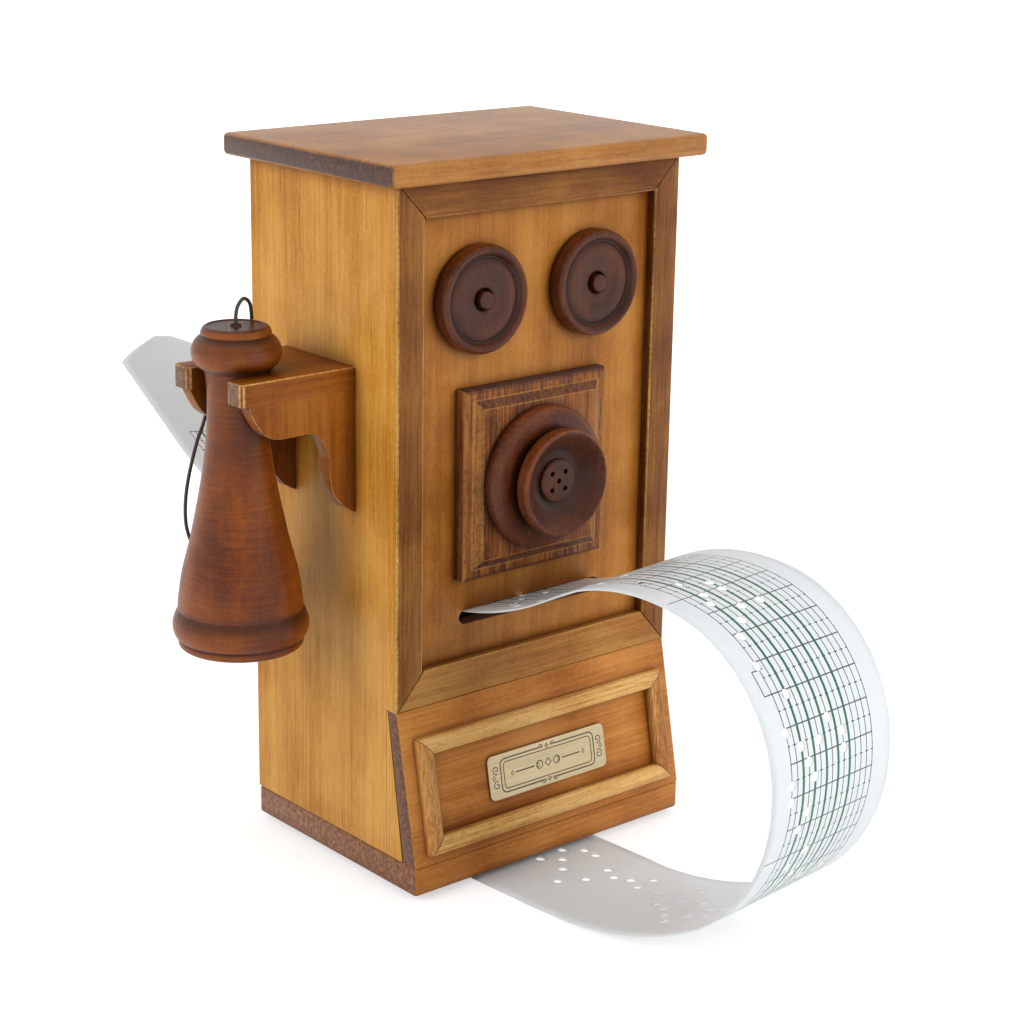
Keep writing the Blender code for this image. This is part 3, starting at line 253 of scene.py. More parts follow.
# Basswood and beech under a sprayed stain and a satin lacquer: soft streaks along the grain, a low
# broad shine, dark fibre ends and pale sanded edges.
honeyPanel = {
    "grain": "Z", "tones": ("#A46A16", "#C48835", "#D69E48"), "ends": ("#4A3020", "#6E4C38", "#8C6C44"),
    # pore colour, the colour of the painted shade in corners and hollows, and the pale of worn edges that
    # also paints light on the plinth
    "pore": "#8E5610", "stain": "#7A4212", "wornAndLit": "#E4C078",
    # widths in mm and shares of the streaks along the grain, the pores, the patches and the specks
    "bandMm": 11, "bandShare": 0.5, "streakMm": 1.0, "streakShare": 0.42, "fineShare": 0.35,
    "poreShare": 0.2, "blotchMm": 22, "blotchShare": 0.6, "speckShare": 0.3, "stretch": 45,
    "turned": False,
    # how far into a corner the painted shade reaches and how dark it gets, least and most of the sanding
    # and painted light, and the shine
    "hollowMm": 5, "cornerShadeShare": 0.75, "wearAndLightLeast": 0.2, "wearAndLightShare": 0.7, "rough": 0.42, "sheen": 0.2,
    "coat": 0.06,
}
amberPanel = {
    **honeyPanel, "tones": ("#8E5416", "#AE6F2A", "#C2853A"), "pore": "#773F08", "stain": "#5E2C08",
    "wornAndLit": "#C48E48", "poreShare": 0.12, "streakShare": 0.25, "blotchShare": 0.75, "fineShare": 0.22,
    "hollowMm": 8, "cornerShadeShare": 0.85,
}
frameWood = {
    **honeyPanel, "tones": ("#60340E", "#7C4919", "#946229"), "pore": "#552E0C", "stain": "#4A2410",
    "wornAndLit": "#D0A058", "streakMm": 0.8, "rough": 0.45, "blotchShare": 0.8, "wearAndLightShare": 0.9,
    "streakShare": 0.4, "fineShare": 0.45,
}
# The rails share one wood; the top rail's copy keeps the stiles' darker tones as painted shade under the
# top board's overhang, while the bottom rail's is lighter.
frameWoodAcross = {**frameWood, "grain": "X", "tones": ("#8A561F", "#A66C2E", "#B98542")}
frameWoodShadedTop = {**frameWood, "grain": "X"}
topWood = {
    **frameWood, "grain": "X", "tones": ("#8F5719", "#A86B28", "#BA823C"),
    "ends": ("#36211A", "#4A3024", "#604430"), "wornAndLit": "#BC8040", "rough": 0.4, "sheen": 0.35,
    "coat": 0.1, "wearAndLightShare": 0.5,
}
flareWood = {
    **amberPanel, "grain": "X", "tones": ("#9C5A1C", "#BA742F", "#CE8A42"),
    "ends": ("#543629", "#6E4A38", "#8A6449"), "wornAndLit": "#C08A48", "bandMm": 6, "wearAndLightShare": 0.7,
    "streakShare": 0.45, "fineShare": 0.35, "streakMm": 0.8, "hollowMm": 5,
}
mouldingWood = {
    **honeyPanel, "grain": "X", "tones": ("#B07430", "#D6A058", "#E8BC76"),
    "ends": ("#8A5E2A", "#A97A3A", "#C29850"), "stain": "#7A3F0E", "wornAndLit": "#E8CA88", "streakMm": 0.6,
    "hollowMm": 2.5, "streakShare": 0.7, "poreShare": 0.4,
}
mouldingWoodUp = {**mouldingWood, "grain": "Z", "tones": ("#8C5020", "#B07238", "#CA9656")}
baseWood = {**flareWood, "ends": ("#6A4230", "#8C6048", "#A67E56")}
chocolateWood = {
    **honeyPanel, "tones": ("#361506", "#4C220E", "#643014"),
    "ends": ("#501F06", "#68300C", "#824214"), "pore": "#2C1006", "stain": "#200E07", "wornAndLit": "#9A5A2C",
    "poreShare": 0.15, "blotchMm": 12, "hollowMm": 2.5, "speckShare": 0.5,
    "streakShare": 0.25, "stretch": 12, "sheen": 0.25, "coat": 0.1,
}
plinthWood = {
    **honeyPanel, "tones": ("#4E2610", "#80481E", "#9C622E"), "ends": ("#3A2524", "#4E3430", "#644438"),
    "pore": "#351A10", "stain": "#36201E", "wornAndLit": "#BE8A44", "bandMm": 4.5, "streakMm": 0.9,
    "streakShare": 0.9, "fineShare": 0.5, "poreShare": 0.8, "rough": 0.45, "wearAndLightShare": 0.6,
    "wearAndLightLeast": 0.35, "hollowMm": 3,
}
handsetWood = {
    **honeyPanel, "tones": ("#522104", "#74370B", "#8E4C13"), "ends": ("#40200F", "#552A14", "#6E3C1C"),
    "pore": "#4A2004", "stain": "#361606", "wornAndLit": "#B87438", "rough": 0.4, "coat": 0.1,
    "blotchShare": 0.8, "speckShare": 0.3, "streakShare": 0.15, "poreShare": 0.12, "turned": True,
    "fineShare": 0.35, "sheen": 0.28,
}
cradleWood = {
    **honeyPanel, "grain": "X", "tones": ("#723907", "#8C4D10", "#A2611B"),
    "ends": ("#5C4032", "#72543F", "#886A50"), "pore": "#5E310D", "stain": "#4A2006", "wornAndLit": "#DCA860",
    "wearAndLightShare": 1.0, "streakShare": 0.4,
}
cradleWoodUp = {**cradleWood, "grain": "Z"}
bareWood = {
    **honeyPanel, "grain": "X", "tones": ("#B8986A", "#C9AC7F", "#D8BF95"),
    "ends": ("#957850", "#B0905F", "#C4A878"), "pore": "#9A7C54", "stain": "#A08050", "wornAndLit": "#DDC8A0",
    "rough": 0.65, "coat": 0.0,
}
woodLooks = {
    "honeyStainedPanel": honeyPanel, "amberStainedPanel": amberPanel, "stainedFrameUpright": frameWood,
    "stainedFrameAcross": frameWoodAcross, "stainedFrameTop": frameWoodShadedTop, "stainedTopBoard": topWood,
    "stainedFlareBoard": flareWood, "stainedMouldingAcross": mouldingWood,
    "stainedMouldingUpright": mouldingWoodUp, "stainedBasePlate": baseWood,
    "chocolateTurnedWood": chocolateWood, "stainedPlinth": plinthWood, "stainedHandset": handsetWood,
    "stainedCradleAcross": cradleWood, "stainedCradleUpright": cradleWoodUp,
    "bareSandedShelf": bareWood,
}
woods = {name: stainedWood(name, look) for name, look in woodLooks.items()}


def metalFinish(name, colour, rough, brushAxis=None, streak=0.12):
    # brushed lines in mm across brushAxis, or a fine cast grain where there is none
    material, add, shader, place = newMaterial(name)
    scale = [1000.0] * 3
    if brushAxis:
        scale["XYZ".index(brushAxis)] = 1000 / 60
    lines = add("Mapping", {"Scale": scale, "Vector": place.outputs["Object"]})
    grit = add("TexNoise", {"Scale": 1 / 0.25, "Detail": 3.0, "Vector": lines})
    dust = add("TexNoise", {"Scale": 1 / 4.0, "Detail": 3.0, "Vector": lines})
    base = linearColour(colour)
    darker = tuple(c * (1 - streak * 2) for c in base[:3]) + (1,)
    tint = add("Mix", {"data_type": "RGBA", 6: darker, 7: base, 0: dust})
    rubbed = add("MapRange", {
        "From Min": 0.3, "From Max": 0.7, "To Min": rough - streak, "To Max": rough + streak,
        "Value": grit})
    bump = add("Bump", {"Strength": 0.15, "Distance": 0.00003, "Height": grit})
    setNode(shader, {"Base Color": tint.outputs[2], "Metallic": 1.0, "Roughness": rubbed, "Normal": bump})
    return material


# Rolled brass sheet, brushed along its length: a warm, slightly streaked gleam.
brushedBrass = metalFinish("brushedBrass", "#D2BF99", 0.4, "X", 0.14)
# Turned and cut brass of wheels and bushing: brighter, with fine tool marks.
turnedBrass = metalFinish("turnedBrass", "#CDA85C", 0.28)
# Cold-drawn bright steel rod and ground comb: cool and sharp.
drawnSteel = metalFinish("drawnSteel", "#BDBFC2", 0.25, "X", 0.08)
# Zinc-plated screws: grey with a soft blurred shine.
zincScrew = metalFinish("zincPlatedScrew", "#A9A79E", 0.38)
# Die-cast zinc frame: matt grey with a fine cast skin.
castZinc = metalFinish("dieCastZinc", "#8F8E8B", 0.5)


def dullFinish(name, colour, rough, grainMm, contrast, relief=0.2):
    # one colour with a fine speckle of its own grain
    material, add, shader, place = newMaterial(name)
    size = add("Mapping", {"Scale": (1000, 1000, 1000), "Vector": place.outputs["Object"]})
    grain = add("TexNoise", {"Scale": 1 / grainMm, "Detail": 4.0, "Vector": size})
    base = linearColour(colour)
    low = tuple(c * (1 - contrast) for c in base[:3]) + (1,)
    high = tuple(min(1, c * (1 + contrast)) for c in base[:3]) + (1,)
    tint = add("Mix", {"data_type": "RGBA", 6: low, 7: high, 0: grain})
    bump = add("Bump", {"Strength": relief, "Distance": 0.00005, "Height": grain})
    setNode(shader, {"Base Color": tint.outputs[2], "Roughness": rough, "Normal": bump})
    return material


# Moulded black phenolic knob: deep black with a soft polish.
mouldedKnob = dullFinish("mouldedPhenolicKnob", "#1C1917", 0.28, 2.0, 0.15, 0.05)
# Black nitrile rubber rollers: dry and matt.
nitrileRubber = dullFinish("nitrileRubber", "#26262A", 0.75, 0.4, 0.3)
# Pressed wool felt pads: soft dark green nap.
pressedFelt = dullFinish("pressedWoolFelt", "#2F4A38", 0.95, 0.3, 0.4, 0.6)
# Waxed dark cord: brown-black with a dull sheen and fine lengthwise fibres.
waxedCord = dullFinish("waxedCord", "#3A342F", 0.5, 0.25, 0.35, 0.4)
# Black enamel rubbed into the plate's etched lines: dark and dull against the brass.
blackFilling = dullFinish("blackEnamelFilling", "#2B2826", 0.5, 0.4, 0.3, 0.05)
print("finishes made")


# The boards: each solid with eased, sanded edges.
joinery = {
    # how far each board grows, how far the slanted board's foot, below its level, goes down into the
    # base plate, how near an edge lies to a joint's plane, and where a stile's outer side begins
    "growMm": 0.14, "footLevel": 8, "footMm": 0.25, "nearMm": 0.45, "outerSideMm": 43.5,
    # edges sharper than this in degrees are eased, and what is narrower than this share of the
    # rounding is part of it
    "sharp": 30, "easedShare": 0.8,
}


def easedBoard(node, finish, slot, easeMm, wearAmount, acrossShare, crispPlanes, sideFinish=None):
    # The solids stand apart by a hair, so each board grows by most of that to close its joints.
    # Edges along the grain are sanded round, those across it by a share of that, and edges in the
    # crisp planes not at all, because a glued joint lies there.
    bm = solidMesh(node, 1)
    weights = bm.edges.layers.float.new("bevel_weight_edge")
    bm.normal_update()
    for vert, out in [(v, v.normal * v.calc_shell_factor()) for v in bm.verts]:
        vert.co += out * joinery["growMm"] / 1000
        if node == "base_front_board" and vert.co.z < spot(0, 0, joinery["footLevel"]).z:
            vert.co.z -= joinery["footMm"] / 1000
    axis, sharp = "XYZ".index(woodLooks[finish]["grain"]), math.radians(joinery["sharp"])
    for edge in bm.edges:
        low, high = ((vert.co - caseOrigin) * 1000 for vert in edge.verts)
        crisp = any(all(abs(end["xyz".index(way)] - level) < joinery["nearMm"] for end in (low, high))
                    for way, level in crispPlanes)
        if len(edge.link_faces) == 2 and edge.calc_face_angle(0) > sharp and not crisp:
            edge[weights] = 1.0 if abs((high - low).normalized()[axis]) > 0.9 else acrossShare
    piece = objectFrom(bm, node + "_board")
    eased(piece, easeMm, 3)
    piece.data = meshOf(piece)
    piece.modifiers.clear()
    dress(piece, woods[finish], "case", slot, node)
    if sideFinish:
        piece.data.materials.append(woods[sideFinish])
    wornAndLit = piece.data.attributes.new("wear", "FLOAT", "FACE")
    narrow = easeMm * joinery["easedShare"] / 1000
    for face in piece.data.polygons:
        ends = [piece.data.vertices[i].co for i in face.vertices]
        longest = max((a - b).length for a, b in zip(ends, ends[1:] + ends[:1]))
        wornAndLit.data[face.index].value = wearAmount if face.area / longest < narrow else 0.0
        outer = abs(face.center.x - caseOrigin.x) * 1000 > joinery["outerSideMm"]
        if sideFinish and abs(face.normal.x) > 0.9 and outer:
            face.material_index = 1
    piece.data.shade_smooth()
    piece.data.set_sharp_from_angle(angle=sharp)
    return piece


# each group: finish, slot, rounding in mm, wear, and its nodes
boards = (
    ("stainedTopBoard", "frame_stain", 0.5, 0.8, ("top_board",)),
    ("honeyStainedPanel", "honey_lacquer", 0.3, 0.5, ("side_panel_left", "side_panel_right")),
    ("honeyStainedPanel", "honey_lacquer", 0.25, 0.5, ("back_panel",)),
    ("amberStainedPanel", "amber_stain", 0.2, 0.3, ("front_panel",)),
    ("stainedFrameUpright", "frame_stain", 0.45, 1.0, ("frame_stile_left", "frame_stile_right")),
    ("stainedFrameTop", "frame_stain", 0.35, 0.5, ("frame_rail_top",)),
    ("stainedFrameAcross", "frame_stain", 0.35, 0.8, ("frame_rail_bottom",)),
    ("stainedFlareBoard", "amber_stain", 0.3, 0.6, ("base_front_board",)),
    ("honeyStainedPanel", "amber_stain", 0.15, 0.5, ("base_wedge_left", "base_wedge_right")),
    ("stainedBasePlate", "umber_stain", 0.2, 0.5, ("base_plate",)),
    ("stainedMouldingAcross", "moulding_stain", 0.12, 0.5, ("base_moulding_top", "base_moulding_bottom")),
    ("stainedMouldingUpright", "moulding_stain", 0.12, 0.5, (
        "base_moulding_left", "base_moulding_right")),
    ("stainedPlinth", "plinth_stain", 0.4, 0.8, ("mouthpiece_plinth",)),
    ("stainedCradleAcross", "cradle_stain", 0.3, 0.9, ("cradle_fork",)),
    ("stainedCradleUpright", "cradle_stain", 0.25, 0.9, (
        "cradle_front_arm", "cradle_rear_arm", "cradle_front_leg", "cradle_rear_leg")),
    ("bareSandedShelf", "plain_wood", 0.3, 0.3, ("movement_shelf",)),
)
frontJoint, baseJoint = ("y", 3.95), ("z", 7.45)
cradleJoints = (("x", -52.15), ("x", -44.45), ("z", 123.25))
# the plinth's bevels, from their smallest area in square metres: painted light upright, painted shade
# where level
plinthBevels = {"area": 2e-5, "wear": 0.6, "stain": 0.55}
eachBoard = [(node, group[:-1]) for group in boards for node in group[-1]]
for node, (finish, slot, ease, wearAmount) in eachBoard:
    across, crisp, side = 0.5, (), None
    if node.startswith(("frame_stile", "side_panel")):
        crisp = (frontJoint,)
    if node in ("base_front_board", "base_plate"):
        crisp = (baseJoint,)
    if node.startswith(("frame_", "base_moulding")):
        across = 0.0
    if node.startswith("cradle"):
        across, crisp = 1.0, cradleJoints
    if node.startswith("frame_stile"):
        side = "honeyStainedPanel"
    made = easedBoard(node, finish, slot, ease, wearAmount, across, crisp, side)
    if node == "mouthpiece_plinth":
        # its upright bevels are painted paler as painted light, and its level ones darker as painted
        # shade, chosen by which way each faces
        shadeAmount = made.data.attributes.new("stain", "FLOAT", "FACE")
        for face in made.data.polygons:
            upright, level = (face.area > plinthBevels["area"] and 0.2 < abs(tilt) < 0.95
                              for tilt in (face.normal.x, face.normal.z))
            if upright:
                made.data.attributes["wear"].data[face.index].value = plinthBevels["wear"]
            shadeAmount.data[face.index].value = plinthBevels["stain"] if level else 0.0
print("boards eased:", len(eachBoard))


def smoothRow(rows, spans):
    # a curve through all the rows, with so many pieces to each span
    line = []
    last = len(rows) - 1
    for i in range(last):
        a, b = rows[max(i - 1, 0)], rows[i]
        c, d = rows[i + 1], rows[min(i + 2, last)]
        for step in range(spans):
            t = step / spans
            line.append(tuple(
                q + t * (r - p) / 2 + t * t * (2 * p - 5 * q + 4 * r - s) / 2
                + t ** 3 * (3 * q - p - 3 * r + s) / 2 for p, q, r, s in zip(a, b, c, d)))
    return line + [tuple(rows[-1])]


def turnedPiece(name, stretches, foot, direction, steps, spans=5):
    # Rows are (radius, height) or (radius, height, shade) in mm, and stretches meet at a crease. Above
    # zero the last figure is painted shade, darkening grooves, hollows and undersides. Below zero it is
    # wear, where the lip is rubbed pale.
    line = []
    for rows in stretches:
        line += smoothRow(rows, spans if len(rows) > 2 else 3)[:-1]
    line.append(stretches[-1][-1])
    turn = Vector((0, 0, 1)).rotation_difference(Vector(direction)).to_matrix()
    bm = bmesh.new()
    stain, wear = bm.verts.layers.float.new("stain"), bm.verts.layers.float.new("wear")
    rings = []
    for radius, height, *dark in line:
        dark = dark[0] if dark else 0
        count = steps if radius > 1e-6 else 1
        ring = []
        for k in range(count):
            angle = 2 * math.pi * k / steps
            around = Vector((radius * math.cos(angle), radius * math.sin(angle), height))
            vert = bm.verts.new(foot + turn @ around / 1000)
            vert[stain], vert[wear] = max(0.0, min(1.0, dark)), max(0.0, -dark)
            ring.append(vert)
        rings.append(ring)
    for low, high in zip(rings, rings[1:]):
        for k in range(steps):
            j = (k + 1) % steps
            corners = list(dict.fromkeys(
                (low[k % len(low)], low[j % len(low)], high[j % len(high)], high[k % len(high)])))
            if len(corners) > 2:
                bm.faces.new(corners)
    bmesh.ops.recalc_face_normals(bm, faces=bm.faces)
    return objectFrom(bm, name, 40)


# the third figure of each row is painted shade, dark in the groove, the pin's socket and the face against
# the case, and below zero wear on the rim
bell = {
    "middle": -1.0, "spread": 36.0, "level": 144.4, "seat": 2.3, "stretches": (
        ((0, 0.02, 0.3), (12.7, 0.02, 0.3)),
        ((12.7, 0.02, 0.6), (13.05, 0.26, 0.3), (13.2, 0.8, -0.1), (13.2, 2.15, -0.25)),
        ((13.2, 2.15, -0.25), (13.04, 3.35, -0.15), (12.54, 4.08, -0.3), (11.9, 4.28, 0),
         (11.2, 3.95, 0.15)),
        ((11.2, 3.95, 0.15), (10.7, 3.2, 0.7), (10.25, 2.85, 1), (9.8, 3.05, 0.6)),
        ((9.8, 3.05, 0.6), (8.5, 3.35, 0), (6.6, 3.3, 0.12), (5, 3.1, 0.3), (3.9, 3.08, 0.2),
         (3, 2.95, 0.5), (2.6, 2.5, 1)),
        ((2.6, 2.5, 1), (2.6, 1, 1)), ((2.6, 1, 1), (0, 1, 1)),
    ),
    "pin": (
        ((0, 1.3, 1), (2.1, 1.3, 1)), ((2.1, 1.3, 1), (2.1, 3.8, 0.3)),
        ((2.1, 3.8, 0), (2, 4.05, 0), (1.7, 4.18, 0.1)), ((1.7, 4.18, 0.1), (0, 4.2, 0.45)),
    ),
}


def chocolatePiece(piece, node):
    return dress(piece, woods["chocolateTurnedWood"], "case", "chocolate_lacquer", node)


for hand, side in (("left", -1), ("right", 1)):
    foot = spot(bell["middle"] + side * bell["spread"] / 2, bell["seat"], bell["level"])
    for name, rows, steps, node in (("turnedBell", bell["stretches"], 128, "bell"),
                                    ("bellDowel", bell["pin"], 48, "bell_pin")):
        chocolatePiece(turnedPiece(f"{name}_{hand}", rows, foot, (0, -1, 0), steps), f"{node}_{hand}")

# the third figure of each row is painted shade, dark behind the disc, under the cup and in the bowl, and
# below zero wear on the lips
mouthpiece = {
    "disc": (
        ((0, 0, 0.5), (17.27, 0, 0.5)),
        ((17.27, 0, 0.5), (17.88, 0.66, 0.1), (17.8, 2, -0.15), (17.1, 3.3, -0.3), (15.75, 4.1, -0.1)),
        ((15.75, 4.1, 0), (13.6, 4.38, 0), (11.45, 4.1, 0.25), (9.67, 3.35, 0.8)),
        ((9.67, 3.35, 1), (0, 3.34, 1)),
    ),
    "cup": (
        ((0, 0, 1), (8, 0, 1)),
        ((8, 0, 0.9), (8.8, 0.8, 0.6), (10.65, 1.7, 0.3), (12.5, 2.5, 0.1), (13.25, 3.3, 0)),
        ((13.25, 3.3, 0), (13.35, 4.9, -0.2), (13.28, 6.05, -0.3), (12.9, 6.52, -0.9)),
        ((12.9, 6.52, -0.9), (12.35, 6.45, -0.1), (11.05, 5.4, 0.1), (9.3, 3.85, 0.3), (7.6, 2.7, 0.5),
         (6.4, 2.38, 0.9), (5.52, 2.38, 1)),
        ((5.52, 2.38, 1), (5.45, 2.97, 0.5), (5.2, 3.33, 0.15), (4.8, 3.42, 0.1)),
        ((4.8, 3.42, 0.1), (0, 3.5, 0.2)),
    ),
    # five sound holes in the hub: radius, spread and depth
    "holeRadius": 0.68, "holeSpread": 2.1, "holeDepth": 1.9,
}
discFoot = boxSpot("mouthpiece_back_disc", 0.5, 1, 0.5)
chocolatePiece(turnedPiece("turnedBackDisc", mouthpiece["disc"], discFoot, (0, -1, 0), 128),
               "mouthpiece_back_disc")
cupFoot = boxSpot("mouthpiece_cup", 0.5, 1, 0.5)
cup = turnedPiece("turnedMouthpieceCup", mouthpiece["cup"], cupFoot, (0, -1, 0), 128)
hubFace = cupFoot - Vector((0, 3.5, 0)) / 1000
radius, spread, depth = (mouthpiece[key] for key in ("holeRadius", "holeSpread", "holeDepth"))
drills = bmesh.new()
for x, z in ((0, 0), (-spread, -spread), (spread, -spread), (-spread, spread), (spread, spread)):
    place = Matrix.Translation(hubFace + Vector((x, depth / 2 - 0.5, z)) / 1000)
    bmesh.ops.create_cone(drills, cap_ends=True, segments=24, radius1=radius / 1000,
                          radius2=radius / 1000, depth=(depth + 1) / 1000,
                          matrix=place @ Matrix.Rotation(math.pi / 2, 4, "X"))
drilled(cup, objectFrom(drills, "holeDrills"))
chocolatePiece(cup, "mouthpiece_cup")

# the handset, lathe-turned in one piece; the third figure of each row is painted shade in its creases,
# under its foot, up its neck and in its ear recess, and below zero wear on the lip
handset = {
    "axis": (-68.5, 30.2), "foot": 60.7, "stretches": (
        ((0, 2.6, 0.9), (5, 2.4, 0.7), (9.4, 1.7, 0.4), (13, 0, 0.2)),
        ((13, 0, 0.2), (14.3, 0.05, 0), (15, 0.6, 0), (15.12, 1.4, 0.2), (14.9, 2.1, 1)),
        ((14.9, 2.1, 1), (15.8, 2.9, 0), (16.4, 4.6, 0), (16.35, 6.4, 0.3), (15.8, 8.1, 0.8),
         (15.1, 9.6, 1)),
        ((15.1, 9.6, 0.6), (15.05, 11.4, 0), (14.72, 13.9, 0), (14.35, 16.4, 0), (13.9, 18.9, 0),
         (13.28, 21.4, 0), (11.95, 26.4, 0), (10.87, 31.4, 0), (9.87, 36.3, 0), (8.97, 41.2, 0.05),
         (8.2, 46.1, 0.1), (7.6, 51, 0.15), (7.25, 55.9, 0.2), (7.1, 60.7, 0.25), (7.22, 64.6, 0.35),
         (7.6, 67.8, 0.6)),
        ((7.6, 67.8, 0.6), (8.3, 68.4, 0.3), (9.4, 69.3, 0.05), (10.25, 70.5, 0), (10.65, 72.2, 0.25),
         (10.4, 73.8, 0.55), (9.6, 75.3, 0.5), (8.25, 76.4, 1)),
        ((8.25, 76.4, 1), (8.35, 77, 0.1), (8, 77.9, 0.25), (7.5, 78.4, 0.3), (6.95, 78.58, 0.2)),
        ((6.95, 78.58, -0.3), (6.8, 78.35, 0.9), (6.55, 78.3, 0.95)),
        ((6.55, 78.3, 0.9), (1.4, 78.3, 0.95)), ((1.4, 78.3, 1), (1.1, 78.1, 1), (1.1, 70.6, 1)),
        ((1.1, 70.6, 1), (0, 70.6, 1)),
    ),
}
earpiece = turnedPiece(
    "turnedHandset", handset["stretches"], spot(*handset["axis"], handset["foot"]), (0, 0, 1), 128)
dress(earpiece, woods["stainedHandset"], "handset", "handset_stain", "handset")
print("turned pieces done")


# The card strip, in mm and degrees.
strip = {
    "halfWidth": 20.5, "thickness": 0.25, "shift": -1.6, "level": 65.3, "start": 30.0, "askew": 0.5,
    # radius, turn and slant of each bend outwards from the rollers, and straight runs without a turn
    "front": ((15.7, 0, 0), (57.2, 11.5, 0), (97.2, 19.7, -7.2), (60.7, -41.2, 0.1), (35.2, -73.0, -1.9),
              (45.0, -66.1, -1.2)),
    "landingSlant": 3.8, "tail": 68.0, "floor": -1.6 + 0.15 + 0.125,
    "back": ((20.9, 0, 0), (45.6, -9.7, 0), (91.0, 26.1, 11.0), (172.0, 13.6, 11.0), (40.5, 0, 0)),
    "noseLength": 11.7, "noseWidth": 5.6, "stepMm": 1.0,
    # notes fall every 4 mm, and a hole takes the three columns round its line
    "beatMm": 4.0, "holeRadius": 1.17, "holeCell": (1.5, 1.3), "holeSeed": 11,
}


def followBends(station, bends, upward):
    # stations of the card's middle: place, heading, line across and length gone
    stations = [station]
    for radius, turn, slant in bends:
        turn, slant = math.radians(turn), math.radians(slant)
        length = abs(radius * turn) if turn else radius
        steps = math.ceil(length / strip["stepMm"])
        for _ in range(steps):
            point, heading, across, gone = stations[-1]
            line = across * math.cos(slant) + heading * math.sin(slant)
            bend = Matrix.Rotation(upward * turn / steps, 3, line)
            turned = bend @ heading
            point = point + (heading + turned) / 2 * length / steps
            stations.append((point, turned, bend @ across, gone + length / steps))
    return stations


def stripStations():
    # from the tip of the leading end to the tail, each with its distance from the tip
    askew = math.radians(strip["askew"])
    start = Vector((strip["shift"], strip["start"], strip["level"]))
    backward = Vector((-math.sin(askew), math.cos(askew), 0))
    right = Vector((math.cos(askew), math.sin(askew), 0))
    front = followBends((start, -backward, right, 0), strip["front"], -1)
    point, heading = front[-1][:2]
    left = math.atan2(-heading.z, heading.y)
    radius = (point.z - strip["floor"]) / (1 - math.cos(left))
    front += followBends(front[-1], ((radius, -math.degrees(left), strip["landingSlant"]),), -1)[1:]
    point, heading, _, gone = front[-1]
    heading = Vector((heading.x, heading.y, 0)).normalized()
    flat = (Vector((point.x, point.y, strip["floor"])), heading, Vector((heading.y, -heading.x, 0)), gone)
    front += followBends(flat, ((strip["tail"], 0, 0),), -1)[1:]
    lead = followBends((start, backward, right, 0), strip["back"], 1)
    whole = lead[-1][3]
    return ([(p, -h, a, whole - d) for p, h, a, d in reversed(lead)]
            + [(p, h, a, whole + d) for p, h, a, d in front[1:]])


stations = stripStations()
distances = [station[3] for station in stations]
stripLength = distances[-1]


def onStrip(u, v):
    # a point of the printed side: u mm across from the middle, v mm from the tip
    after = min(max(bisect_right(distances, v), 1), len(stations) - 1)
    low, high = stations[after - 1], stations[after]
    share = (v - low[3]) / (high[3] - low[3])
    point, heading, across = (low[i].lerp(high[i], share) for i in range(3))
    across.normalize()
    up = heading.cross(across).normalized()
    return spot(*(point + across * u + up * (strip["thickness"] / 2)))


def halfWidthAt(v):
    tip, share = strip["noseWidth"] / 2, v / strip["noseLength"]
    if share >= 1:
        return strip["halfWidth"]
    return tip + (strip["halfWidth"] - tip) * (0.25 * math.sin(share * math.pi / 2) ** 0.9 + 0.75 * share)


def punchedCells():
    # a made-up tune: one to three notes at most beats, kept off the labels and the tail
    chance = random.Random(strip["holeSeed"])
    cells, low = set(), 5
    for beat in range(12, int(stripLength / strip["beatMm"]) - 1):
        if chance.random() > 0.8:
            continue
        low = max(0, min(14, low + chance.choice((-3, -2, -1, 1, 2, 3))))
        cells.add((low, beat))
        for more in (2, 5):
            high = low + more + chance.choice((0, 1, 2))
            free = (high - 1, beat) not in cells and (high - 2, beat) not in cells
            if chance.random() < 0.34 and high <= 14 and free:
                cells.add((high, beat))
    return {(line, beat) for line, beat in cells if (line + 1, beat) not in cells}


